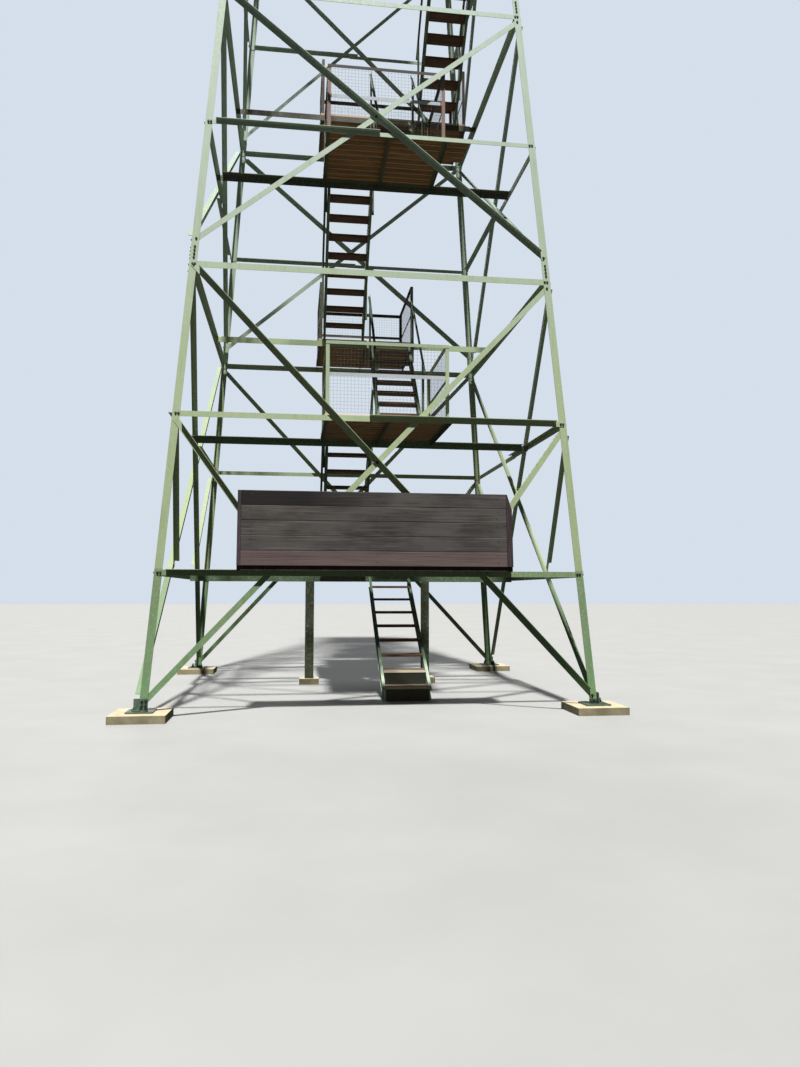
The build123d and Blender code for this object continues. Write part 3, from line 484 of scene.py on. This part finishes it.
def sign_boards_material():
    """Charcoal stain with long grain, pale streaks and worn edges, and a purplish lowest board."""
    n = Nodes("stained_sign_boards")
    p = n.position()
    place = n.axes(p)
    lines = n.noise(n.scaled(p, (1.3, 40, 70)), 1.0, 5.0, 0.62, 0.5)
    streaks = n.noise(n.scaled(p, (0.8, 9, 26)), 1.0, 4.0, 0.6, 0.8)
    patches = n.noise(n.scaled(p, (1.9, 1.9, 5.0)), 1.0, 3.0)
    colour = n.mix(n.remap(lines, 0.3, 0.7), srgb(38, 37, 36), srgb(80, 76, 74))
    colour = n.mix(n.remap(patches, 0.42, 0.62, 0.0, 0.6), colour, srgb(86, 84, 82))
    colour = n.mix(n.remap(streaks, 0.56, 0.72, 0.0, 0.45), colour, srgb(124, 114, 106))
    # Rows of boards counted from the foot, on the sign's slope
    row = n.maths("DIVIDE", n.maths("SUBTRACT", place["Z"], SIGN_BOTTOM + 0.0085), SIGN_ROW * 0.9973)
    lowest = n.maths("LESS_THAN", row, 1.0)
    plum = n.mix(n.remap(lines, 0.3, 0.7), srgb(82, 68, 68), srgb(116, 98, 96))
    colour = n.mix(n.maths("MULTIPLY", lowest, 0.75), colour, plum)
    top_left = n.maths("MULTIPLY", n.maths("GREATER_THAN", row, 4.0),
                       n.remap(place["X"], -0.9, 0.3, 0.9, 0.0))
    colour = n.mix(top_left, colour, srgb(21, 21, 21))
    edge = n.maths("GREATER_THAN", n.maths("FRACT", row), 0.965)
    pale_edges = n.maths("MULTIPLY", edge, n.remap(streaks, 0.42, 0.62, 0.0, 0.3))
    colour = n.mix(pale_edges, colour, srgb(158, 146, 136))
    shadow = n.maths("LESS_THAN", n.maths("FRACT", row), 0.05)
    colour = n.mix(n.maths("MULTIPLY", shadow, 0.7), colour, srgb(18, 15, 18))
    n.bump((lines, 0.8), (streaks, 0.4), 0.5, 0.004)
    n.bsdf.inputs["Specular IOR Level"].default_value = 0.2
    return n.finish(colour, n.remap(lines, 0.3, 0.8, 0.6, 0.88))


def sheet_paint(name, base, dirt):
    """Painted cladding with dirty runs and faded patches."""
    n = Nodes(name)
    p = n.position()
    colour = n.mix(n.remap(n.noise(p, 1.3, 4.0), 0.35, 0.7, 0.0, 0.5), base, times(base, 0.84))
    runs = n.noise(n.scaled(p, (22, 22, 1.4)), 1.0, 4.0)
    colour = n.mix(n.remap(runs, 0.5, 0.8, 0.0, 0.55), colour, dirt)
    fine = n.noise(p, 60.0, 2.0)
    n.bump((runs, 0.5), (fine, 0.3), 0.4, 0.003)
    return n.finish(colour, n.remap(runs, 0.3, 0.8, 0.5, 0.75))


def concrete_material():
    """Rough concrete with painted sunlight on its tops and painted shade on its sides, and mossy patches
    on its sides.
    """
    n = Nodes("rough_concrete")
    p = n.position()
    coarse = n.noise(p, 6.0, 5.0, 0.65)
    grit = n.noise(p, 90.0, 3.0, 0.8)
    # Painted sunlight: the paler tone on upward faces; painted shade: the darker tone on the sides
    top = n.mix(n.remap(coarse, 0.32, 0.7), srgb(196, 182, 150), srgb(228, 212, 180))
    side = n.mix(n.remap(coarse, 0.32, 0.7), srgb(136, 128, 102), srgb(176, 164, 134))
    side = n.mix(n.remap(n.noise(p, 2.1, 3.0), 0.42, 0.62, 0.0, 0.7), side, srgb(98, 106, 74))
    colour = n.mix(n.remap(n.facing("Z"), 0.3, 0.8), side, top)
    colour = n.mix(n.remap(grit, 0.56, 0.72, 0.0, 0.5), colour, srgb(120, 114, 90))
    n.bump((coarse, 1.0), (grit, 0.5), 0.8, 0.01)
    return n.finish(colour, 0.9)


def glass_material():
    """Thin dusty window glass."""
    n = Nodes("window_pane")
    dust = n.noise(n.scaled(n.position(), (5, 5, 2)), 1.0, 5.0)
    colour = n.mix(n.remap(dust, 0.4, 0.75), srgb(150, 168, 170), srgb(188, 196, 188))
    n.bsdf.inputs["Alpha"].default_value = 0.42
    n.bsdf.inputs["IOR"].default_value = 1.5
    return n.finish(colour, n.remap(dust, 0.4, 0.8, 0.06, 0.3))


def flight_material():
    """Painted stringers with brown treads between them, told apart by their distance from a lane."""
    n = Nodes("stair_flight")
    p = n.position()
    place = n.axes(p)
    z = place["Z"]
    inside = None
    for lane in STAIR_LANES:
        gap = n.maths("ABSOLUTE", n.maths("SUBTRACT", place["X"], lane))
        near = n.maths("LESS_THAN", gap, TREAD_HALF)
        inside = near if inside is None else n.maths("MAXIMUM", inside, near)
    wood, lines, fine = wood_grain(n, p, TREAD_TONES, 0.25)
    # The two closed risers at the foot, with the front edges of their treads; the nosings carry painted
    # sunlight and the lowest riser painted light over its mud colour
    front = n.maths("MULTIPLY", n.maths("LESS_THAN", n.facing("Y"), -0.5),
                    n.maths("LESS_THAN", z, 2 * FIRST_RISE + 0.001))
    step = n.maths("FRACT", n.maths("DIVIDE", n.maths("SUBTRACT", z, 0.001), FIRST_RISE))
    nosing = n.maths("GREATER_THAN", step, 1 - DECK / FIRST_RISE)
    board = n.mix(n.remap(fine, 0.3, 0.7), srgb(26, 30, 20), srgb(44, 48, 34))
    # Mud brown on the lowest riser, lightened as painted light where it lies in shade
    mud_and_painted_light = n.mix(n.remap(fine, 0.3, 0.7), srgb(84, 78, 56), srgb(120, 112, 84))
    board = n.mix(n.maths("LESS_THAN", z, FIRST_RISE), board, mud_and_painted_light)
    # Painted sunlight on the nosings of the two lowest treads
    pale_edges = n.mix(n.remap(lines, 0.3, 0.7), srgb(196, 186, 158), srgb(230, 222, 198))
    wood = n.mix(front, wood, n.mix(nosing, board, pale_edges))
    # Painted sunlight on the stringers' feet, and a darker green above that is partly painted shade
    paint = by_height(n, z, STRINGER_PAINT_AND_SUNLIT_FOOT)
    faded = n.remap(n.noise(p, 3.0, 4.0), 0.4, 0.7, 0.0, 0.5)
    paint = n.mix(faded, paint, (0.72, 0.76, 0.70), "MULTIPLY")
    rust = n.noise(p, 14.0, 6.0, 0.72)
    paint = n.mix(n.remap(rust, 0.64, 0.71, 0.0, 0.6), paint, srgb(92, 60, 44))
    n.bump((lines, 0.6), (rust, 0.4), 0.45, 0.003)
    return n.finish(n.mix(inside, paint, wood), n.remap(fine, 0.3, 0.8, 0.55, 0.85))


# Paint colours by height, some with painted sunlight and shade in them
FRAME_PAINT = [(0.2, srgb(112, 146, 104)), (1.895, srgb(121, 144, 104)), (1.93, srgb(158, 174, 132)),
               (4.6, srgb(168, 184, 146)), (7.0, srgb(170, 188, 166)), (10.5, srgb(180, 200, 184))]
# Stringers: the pale mint below 0.45 m is painted sunlight, and the darker green above is partly painted
# shade
STRINGER_PAINT_AND_SUNLIT_FOOT = [(0.45, srgb(178, 196, 174)), (0.58, srgb(88, 112, 88)), (8.0, srgb(104, 124, 100))]
# Landing beams: the pale band at the third landing is painted sunlight, and the darker tones at the other
# landings are partly painted shade under the decks
BEAM_PAINT_AND_LIGHT = [(1.5, srgb(84, 104, 76)), (5.5, srgb(112, 130, 100)), (5.9, srgb(172, 190, 150)),
              (6.4, srgb(172, 190, 150)), (7.5, srgb(92, 102, 84)), (10.0, srgb(70, 66, 50)),
              (13.0, srgb(90, 98, 80))]
# Joists and landing posts: dark, partly sheltered paint and partly painted shade under the decks
JOIST_PAINT_AND_SHADE = [(0.5, srgb(58, 66, 46)), (8.0, srgb(88, 90, 66))]
SHOE_PAINT = [(0.1, srgb(66, 88, 70)), (0.3, srgb(76, 98, 78))]
RAIL_PAINT = [(5.0, srgb(172, 190, 156)), (6.0, srgb(78, 72, 58)), (7.8, srgb(84, 70, 60)),
              (8.2, srgb(138, 108, 98)), (9.335, srgb(136, 108, 98)), (9.35, srgb(44, 38, 34)),
              (12.0, srgb(110, 96, 88))]
HANDRAIL_PAINT = [(2.0, srgb(82, 102, 80)), (9.0, srgb(76, 94, 76))]
BOLT_PAINT = [(0.0, srgb(28, 34, 28)), (9.0, srgb(40, 46, 38))]
ZINC = [(0.0, srgb(110, 106, 98)), (9.0, srgb(104, 98, 90))]
TRIM_PAINT = [(20.0, srgb(206, 212, 196)), (30.0, srgb(206, 212, 196))]

# Dark grain, light grain and grey weather of the timbers
DECK_TONES = (srgb(118, 84, 50), srgb(178, 130, 80), srgb(128, 120, 108))
BATTEN_TONES = (srgb(40, 32, 34), srgb(74, 60, 62), srgb(104, 94, 96))
TREAD_TONES = (srgb(66, 44, 32), srgb(124, 88, 62), srgb(134, 122, 106))

steel = painted_steel("green_steel", FRAME_PAINT)
beam_steel = painted_steel("beam_steel", BEAM_PAINT_AND_LIGHT)
joist_steel = painted_steel("joist_steel", JOIST_PAINT_AND_SHADE)
shoe_steel = painted_steel("shoe_steel", SHOE_PAINT, 0.6, 0.5)
rail_steel = painted_steel("rail_steel", RAIL_PAINT, 0.6, 0.6, zinc_rails)
handrail_steel = painted_steel("handrail_steel", HANDRAIL_PAINT, 0.6, 0.6)
bolt_steel = painted_steel("bolt_steel", BOLT_PAINT, 0.55, 0.6)
wire_steel = painted_steel("wire_steel", ZINC, 0.45, 0.5)
deck_wood = timber("deck_wood", DECK_TONES, pale_front=srgb(232, 208, 184))
sign_wood = timber("sign_batten_wood", BATTEN_TONES, 0.4, "Z")
sign_stain = sign_boards_material()
cladding = sheet_paint("cab_cladding", srgb(176, 190, 168), srgb(110, 112, 96))
trim = painted_steel("cab_trim_paint", TRIM_PAINT, 0.6, 0.2)
roofing = sheet_paint("roof_sheet", srgb(92, 112, 94), srgb(66, 60, 50))
concrete = concrete_material()
glass = glass_material()
flight_look = flight_material()

NAMED_LOOKS = {
    "leg_splices": steel,
    "brace_packings": steel,
    "foot_shoes": shoe_steel,
    "landing_beams": beam_steel,
    "cab_floor_beams": beam_steel,
    "landing_joists": joist_steel,
    "landing_posts": joist_steel,
    "stair_handrails": handrail_steel,
    "corner_footings": concrete,
    "post_pads": concrete,
    "cab_window_glass": glass,
    "cab_roof": roofing,
    "roof_finial": roofing,
}


def look_of(name):
    """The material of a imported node, by its name."""
    if name.endswith(("_leg", "_girts", "_braces")):
        return steel
    if name.endswith("landing_rails"):
        return rail_steel
    if "stair_flight" in name:
        return flight_look
    if name.startswith("sign_"):
        return sign_wood
    if name.startswith("cab_") and name.endswith("_wall"):
        return cladding
    return NAMED_LOOKS.get(name, deck_wood)


def dress_nodes():
    """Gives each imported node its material."""
    for name in nodes:
        mesh = nodes[name].data
        mesh.materials.clear()
        mesh.materials.append(look_of(name))


def planks(levels, name, node):
    """Deck boards across each landing, with small gaps, in place of a plain slab."""
    m = Maker()
    for level in levels:
        inner, outer = beam_reach(level), deck_outer(level)
        count = round((outer - inner) / PLANK)
        pitch = (outer - inner) / count
        z = LEVELS[level] + 0.0005 + PLANK_THICK / 2
        for k in range(count):
            y = landing_side(level) * (inner + (k + 0.5) * pitch)
            bay = level == 4 and k * pitch > outer - inner - BAY_DEPTH
            left = LANDING_LEFT + rng.uniform(0, 0.008)
            right = (BAY_RIGHT if bay else LANDING_RIGHT[level]) - rng.uniform(0, 0.012)
            rot = Matrix.Rotation(rng.uniform(-0.0012, 0.0012), 3, "Z")
            width = pitch - rng.uniform(0.004, 0.010)
            m.box(((left + right) / 2, y, z), (right - left, width, PLANK_THICK), rot, 0.004)
    obj = m.build(name, [deck_wood])
    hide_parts(node)


def bolt(m, point, out, radius):
    """A washer and a hexagon head standing out of a face."""
    point, out = Vector(point), Vector(out)
    m.prism(point, out, radius * 1.35, WASHER_THICK, 10)
    m.prism(point + out.normalized() * WASHER_THICK, out, radius, HEAD_HEIGHT, 6, rng.uniform(0, 1))


def brace_bolts(m, face):
    """Bolts at the ends of a face's diagonals and where they cross."""
    out = face_out(face)
    for panel in PANELS:
        outside = zone_at(panel[1])[5] + SEAT
        for rising in (True, False):
            ends = diagonal_ends(panel, rising)
            slope = Vector((ends[1][0] - ends[0][0], 0, ends[1][1] - ends[0][1])).normalized()
            for (x, z), way in ((ends[0], 1), (ends[1], -1)):
                x += way * slope.x * BRACE_BOLT_INSET
                z += way * slope.z * BRACE_BOLT_INSET
                bolt(m, on_face(face, x, z, 0.0 if rising else outside), out, BRACE_BOLT)
        x, z = crossing(panel)
        bolt(m, on_face(face, x, z, outside), out, BRACE_BOLT)


def girt_bolts(m, face):
    """Two bolts at each end of a face's girts."""
    for level in range(1, 13):
        _, _, leg, _, _, brace_wall = zone_at(level)
        z = LEVELS[level] - GIRT_SIZE[level] / 2
        for side in (-1, 1):
            stand = brace_wall + SEAT if girt_outside(level, side) else 0.0
            for share in GIRT_BOLT_SHARES:
                x = side * (half(z) - leg * share)
                bolt(m, on_face(face, x, z, stand), face_out(face), GIRT_BOLT)


def splice_bolts(m, face):
    """Bolts through the splices, over the levels where the legs get lighter."""
    for bottom, _, leg, _, _, _ in ZONES[1:]:
        for side in (-1, 1):
            for rise in SPLICE_BOLT_RISES:
                z = LEVELS[bottom] + rise
                x = side * (half(z) - leg * SPLICE_BOLT_SHARE)
                bolt(m, on_face(face, x, z), face_out(face), GIRT_BOLT)


def frame_bolts():
    """The bolts on the four faces of the frame."""
    bolts = Maker()
    for face in range(4):
        brace_bolts(bolts, face)
        girt_bolts(bolts, face)
        splice_bolts(bolts, face)
    bolts.build("frame_bolts", [bolt_steel])


def shoe_bolts():
    """Bolts through the shoes' upright plates, and anchor studs with nuts on their feet."""
    m = Maker()
    up = Vector((0, 0, 1))
    corner = half(BASE)
    for face in range(4):
        for side, inset, height in SHOE_BOLTS:
            place = on_face(face, side * (corner - inset), BASE + height, SHOE_THICKNESS + 0.0005)
            bolt(m, place, face_out(face), BRACE_BOLT)
        for side, inset in ANCHORS:
            foot = Vector((side * (corner - inset), -corner - ANCHOR_REACH, BASE + SHOE_THICKNESS))
            foot = face_turn(face) @ foot
            m.prism(foot, up, 0.030, 0.004, 12)
            m.prism(foot + up * 0.004, up, 0.021, 0.021, 6, rng.uniform(0, 1))
            m.prism(foot + up * 0.025, up, 0.011, 0.030, 8)
    m.build("shoe_bolts", [bolt_steel])


def sign_frame():
    """The place and turn of the sign's back, which lies parallel to the near face."""
    across, out = Vector((1, 0, 0)), face_out(0)
    up = out.cross(across).normalized()
    return on_face(0, 0.0, SIGN_BOTTOM, SIGN_BACK), across, up, out


def sign_planks(place):
    """Five boards and an end strip at each side, the right one with its top corner cut back."""
    m = Maker()
    for row in range(SIGN_ROWS):
        low, high = row * SIGN_ROW + SIGN_GROOVE, (row + 1) * SIGN_ROW - SIGN_GROOVE
        depth = SIGN_THICK - 0.006 - rng.uniform(0.0, 0.004)
        outline = rectangle(SIGN_LEFT_STRIP[1] + 0.001, SIGN_RIGHT_STRIP[0] - 0.001, low, high)
        m.slab(place, outline, 0.0, depth)
    outline = rectangle(*SIGN_LEFT_STRIP, SIGN_STRIP_FOOT, SIGN_STRIP_TOP)
    m.slab(place, outline, 0.0, SIGN_THICK, 1)
    inner, outer = SIGN_RIGHT_STRIP
    outline = [(inner, SIGN_STRIP_FOOT), (outer, SIGN_STRIP_FOOT), (outer, SIGN_CUT_FOOT),
               (inner + SIGN_CUT_WIDTH, SIGN_STRIP_TOP), (inner, SIGN_STRIP_TOP)]
    m.slab(place, outline, 0.0, SIGN_THICK, 1)
    boards = m.build("sign_planks", [sign_stain, sign_wood], 0.003)
    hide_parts("sign_boards")


def sign_fixings(place):
    """Round bolt heads through each board at each batten."""
    origin, across, up, out = place
    fixings = Maker()
    for batten in SIGN_BATTENS:
        for row in range(SIGN_ROWS):
            for share in (0.28, 0.72):
                x = batten + rng.uniform(-0.012, 0.012)
                spot = origin + across * x + up * ((row + share) * SIGN_ROW)
                fixings.prism(spot + out * (SIGN_THICK - 0.010), out, 0.007, 0.005, 10)
    fixings.build("sign_fixings", [bolt_steel])


def sign_timber(place):
    """The battens behind the sign, with a rail between them along its foot."""
    carried = Maker()
    back = -SIGN_BATTEN_THICK - SEAT
    foot = LEVELS[1] - SIGN_BOTTOM - 0.012
    stops = [SIGN_LEFT_STRIP[0]]
    for batten in SIGN_BATTENS:
        low, high = batten - SIGN_BATTEN_WIDTH / 2, batten + SIGN_BATTEN_WIDTH / 2
        carried.slab(place, rectangle(low, high, foot, SIGN_HEIGHT - 0.03), back, -SEAT)
        stops += [low, high]
    stops.append(SIGN_RIGHT_STRIP[1])
    for low, high in zip(stops[::2], stops[1::2]):
        carried.slab(place, rectangle(low, high, foot, SIGN_RAIL_TOP), back, -SEAT)
    battens = carried.build("sign_back_timber", [sign_wood])
    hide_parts("sign_battens")


def cab_place(face, across, height, out):
    """A point on a cab wall, by its distance across, its height over the wall's foot and its stand-off."""
    return face_turn(face) @ Vector((across, -(CAB_HALF + out), WALL_FOOT + height))


def cab_bar(m, face, outline, back, front):
    """An upright slab on a cab wall, from its corners and two stand-offs."""
    m.add([cab_place(face, x, h, out) for out in (back, front) for x, h in outline], BOX_FACES)


def lap_boards(m, face, reach):
    """Lapped boards under a wall's windows."""
    for k in range(LAP_ROWS):
        low, high = k * LAP, min((k + 1) * LAP + LAP_OVER, SILL - SILL_DEPTH)
        verts = [cab_place(face, x, h, out) for x in (-reach, reach)
                 for h, out in ((low, TRIM_BACK), (low, 0.017), (high, 0.005), (high, TRIM_BACK))]
        m.add(verts, [tuple(reversed(f)) for f in BOX_FACES])


def wall_trim(m, face, reach):
    """A wall's sill, head board, corner boards and the boards between its windows."""
    top = WALL_HEIGHT - 0.001
    cab_bar(m, face, rectangle(-reach, reach, SILL - SILL_DEPTH, SILL), TRIM_BACK, SILL_REACH)
    cab_bar(m, face, rectangle(-reach, reach, WINDOW_TOP, top), TRIM_BACK, HEAD_THICK)
    for side in (-1, 1):
        corner = CAB_HALF + (0.0 if face % 2 else CORNER_THICK)
        left, right = sorted((side * corner, side * reach))
        cab_bar(m, face, rectangle(left, right, 0.0, top), TRIM_BACK, CORNER_THICK)
        middle, width = side * WINDOW_PITCH / 2, (WINDOW_PITCH - WINDOW_WIDTH) / 2
        outline = rectangle(middle - width, middle + width, SILL, WINDOW_TOP)
        cab_bar(m, face, outline, TRIM_BACK, MULLION_THICK)
        left, right = sorted((side * (WINDOW_PITCH + WINDOW_WIDTH / 2), side * reach))
        if right - left > 0.01:
            cab_bar(m, face, rectangle(left, right, SILL, WINDOW_TOP), TRIM_BACK, MULLION_THICK)


def window_sash(m, face, place):
    """A window's sash: two stiles, two rails and two crossing bars."""
    left, right = place - WINDOW_WIDTH / 2 + 0.001, place + WINDOW_WIDTH / 2 - 0.001
    low, high = SILL + 0.001, WINDOW_TOP - 0.001
    back, front = -CAB_WALL / 2 + 0.0035, -0.002
    inner_left, inner_right, middle = left + SASH, right - SASH, (low + high) / 2
    cab_bar(m, face, rectangle(left, inner_left, low, high), back, front)
    cab_bar(m, face, rectangle(inner_right, right, low, high), back, front)
    cab_bar(m, face, rectangle(inner_left, inner_right, low, low + SASH * 1.3), back, front)
    cab_bar(m, face, rectangle(inner_left, inner_right, high - SASH, high), back, front)
    upright = rectangle(place - SASH_BAR, place + SASH_BAR, low + SASH, high - SASH)
    level = rectangle(inner_left, inner_right, middle - SASH_BAR, middle + SASH_BAR)
    for outline in (upright, level):
        cab_bar(m, face, outline, back, front - 0.006)


def cab_siding():
    """The boards, trim and sashes of the cab's four walls."""
    boards, frames = Maker(), Maker()
    reach = CAB_HALF - CORNER_BOARD
    for face in range(4):
        lap_boards(boards, face, reach)
        wall_trim(frames, face, reach)
        for k in range(3):
            window_sash(frames, face, (k - 1) * WINDOW_PITCH)
    boards.build("cab_lap_boards", [cladding])
    frames.build("cab_window_trim", [trim], 0.002)


def roof_strip(m, a, b, up, width, height):
    """A strip laid on the roof between two points."""
    run = b - a
    along = run.normalized()
    side = along.cross(up).normalized()
    normal = side.cross(along)
    rot = Matrix((along, side, normal)).transposed()
    m.box((a + b) / 2 + normal * height / 2, (run.length, width, height), rot, height * 0.3)


def roof_ribs():
    """Standing seams up each slope of the roof, and caps on its hips."""
    m = Maker()
    eave = ROOF_FOOT + ROOF_FASCIA
    rise = ROOF_HEIGHT / (ROOF_HALF - ROOF_FLAT)
    for face in range(4):
        turn = face_turn(face)
        normal = turn @ Vector((0, -rise, 1)).normalized()
        for k in range(-4, 5):
            x = k * SEAM_PITCH
            stop = max(abs(x), ROOF_FLAT) + 0.01
            a = turn @ Vector((x, -ROOF_HALF + 0.002, eave + 0.001))
            b = turn @ Vector((x, -stop, eave + rise * (ROOF_HALF - stop)))
            roof_strip(m, a, b, normal, SEAM_WIDTH, SEAM_HEIGHT)
        a = turn @ Vector((-ROOF_HALF + 0.005, -ROOF_HALF + 0.005, eave))
        b = turn @ Vector((-ROOF_FLAT, -ROOF_FLAT, eave + ROOF_HEIGHT))
        roof_strip(m, a, b, Vector((0, 0, 1)), HIP_WIDTH, HIP_HEIGHT)
    m.build("roof_ribs", [roofing])


def rail_lips():
    """The upright leg of each landing's long top rail, outside the posts."""
    m = Maker()
    for level in range(1, 12):
        top = LEVELS[level] + DECK + SEAT + RAIL_HEIGHT
        left, right = LANDING_LEFT + LIP_END, LANDING_RIGHT[level] - LIP_END
        y = landing_side(level) * (rail_outer(level) + SEAT + LIP_THICK / 2)
        centre = ((left + right) / 2, y, top - LIP_DEPTH / 2)
        m.box(centre, (right - left, LIP_THICK, LIP_DEPTH))
    m.build("landing_rail_lips", [rail_steel])


def wire(m, a, b):
    """A square-section wire between two points."""
    a, b = Vector(a), Vector(b)
    m.prism(a, b - a, WIRE_RADIUS, (b - a).length, 4, math.pi / 4)


def mesh_panel(m, start, end, low, high):
    """Wires up and along a guard rail, between two points of its plan and two heights."""
    (x1, y1), (x2, y2) = start, end
    count = max(2, round(math.hypot(x2 - x1, y2 - y1) / MESH_PITCH))
    for k in range(count + 1):
        x, y = x1 + (x2 - x1) * (k / count), y1 + (y2 - y1) * (k / count)
        wire(m, (x, y, low), (x, y, high))
    rows = round((high - low) / MESH_PITCH)
    for k in range(rows + 1):
        z = low + (high - low) * k / rows
        wire(m, (x1, y1, z), (x2, y2, z))


def landing_mesh():
    """Wire mesh on the long rail and the two end rails of each landing."""
    m = Maker()
    for level in range(1, 12):
        side = landing_side(level)
        deck_top = LEVELS[level] + DECK
        low, high = deck_top + 0.05, deck_top + RAIL_HEIGHT - 0.01
        left, right = LANDING_LEFT + MESH_END, LANDING_RIGHT[level] - MESH_END
        outer, inner = side * (rail_outer(level) - 0.012), side * (beam_reach(level) + 0.03)
        mesh_panel(m, (left, outer), (right, outer), low, high)
        mesh_panel(m, (left, inner), (left, outer), low, high)
        mesh_panel(m, (right, inner), (right, outer), low, high)
    wire_mesh = m.build("landing_wire_mesh", [wire_steel])


def lay_floor():
    """A plain pale floor."""
    floor_mesh = bpy.data.meshes.new("floor")
    corners = rectangle(-FLOOR_HALF, FLOOR_HALF, -FLOOR_HALF, FLOOR_HALF)
    floor_mesh.from_pydata([(x, y, 0) for x, y in corners], [], [(0, 1, 2, 3)])
    floor = bpy.data.objects.new("floor", floor_mesh)
    scene.collection.objects.link(floor)
    pale = Nodes("pale_floor")
    grain = pale.noise(pale.position(), 0.8, 3.0)
    looked_at = pale.node("ShaderNodeLightPath").outputs["Is Camera Ray"]
    tone = pale.mix(pale.remap(grain, 0.3, 0.7), (0.40, 0.405, 0.40), (0.43, 0.435, 0.43))
    colour = pale.mix(looked_at, (0.048, 0.048, 0.044), tone)
    floor_mesh.materials.append(pale.finish(colour, 0.95))


def light_sky():
    """A pale sky where it is looked at, and a faint even light elsewhere."""
    world = bpy.data.worlds.new("world")
    scene.world = world
    world.use_nodes = True
    tree = world.node_tree
    background = tree.nodes["Background"]
    background.inputs["Color"].default_value = (0.86, 0.93, 1.0, 1.0)
    background.inputs["Strength"].default_value = 0.03
    seen = tree.nodes.new("ShaderNodeBackground")
    seen.inputs["Color"].default_value = (0.66, 0.74, 0.83, 1.0)
    seen.inputs["Strength"].default_value = 1.0
    paths = tree.nodes.new("ShaderNodeLightPath")
    both = tree.nodes.new("ShaderNodeMath")
    both.operation = "MAXIMUM"
    blend = tree.nodes.new("ShaderNodeMixShader")
    links = tree.links
    links.new(paths.outputs["Is Camera Ray"], both.inputs[0])
    links.new(paths.outputs["Is Transmission Ray"], both.inputs[1])
    links.new(both.outputs[0], blend.inputs[0])
    links.new(background.outputs[0], blend.inputs[1])
    links.new(seen.outputs[0], blend.inputs[2])
    links.new(blend.outputs[0], tree.nodes["World Output"].inputs[0])


def sun(name, direction, strength, angle, colour):
    """A sun lamp that shines along a direction."""
    light = bpy.data.lights.new(name, "SUN")
    light.energy, light.angle, light.color = strength, math.radians(angle), colour
    obj = bpy.data.objects.new(name, light)
    obj.rotation_mode = "QUATERNION"
    obj.rotation_quaternion = Vector(direction).to_track_quat("-Z", "Y")
    obj.location = (0, 0, 30)
    scene.collection.objects.link(obj)


def place_camera():
    """The camera in the photo's view."""
    camera_data = bpy.data.cameras.new("camera")
    camera_data.sensor_width = SENSOR
    camera_data.lens = FOCAL_PIXELS / PHOTO_PIXELS * SENSOR
    camera_data.clip_end = 300.0
    camera = bpy.data.objects.new("camera", camera_data)
    scene.collection.objects.link(camera)
    camera.rotation_mode = "QUATERNION"
    turn = Matrix((CAMERA_RIGHT, CAMERA_UP, -CAMERA_AHEAD)).transposed()
    camera.rotation_quaternion = turn.to_quaternion()
    camera.location = CAMERA_PLACE
    scene.camera = camera


dress_nodes()
planks(range(2, 12, 2), "near_deck_planks", "near_landings")
planks(range(1, 12, 2), "far_deck_planks", "far_landings")
frame_bolts()
shoe_bolts()
sign_place = sign_frame()
sign_planks(sign_place)
sign_fixings(sign_place)
sign_timber(sign_place)
cab_siding()
roof_ribs()
rail_lips()
landing_mesh()

lay_floor()
light_sky()
sun("key", (0.04, 0.46, -0.887), 5.45, 3.0, (1.0, 0.98, 0.95))
sun("back_fill", (0.10, -0.85, -0.52), 1.2, 30.0, (0.95, 0.98, 1.0))
sun("left_fill", (1.0, 0.10, -0.30), 0.15, 30.0, (0.95, 0.98, 1.0))
sun("right_fill", (-1.0, 0.10, -0.30), 0.15, 30.0, (0.95, 0.98, 1.0))
place_camera()
scene.view_settings.view_transform = "Standard"
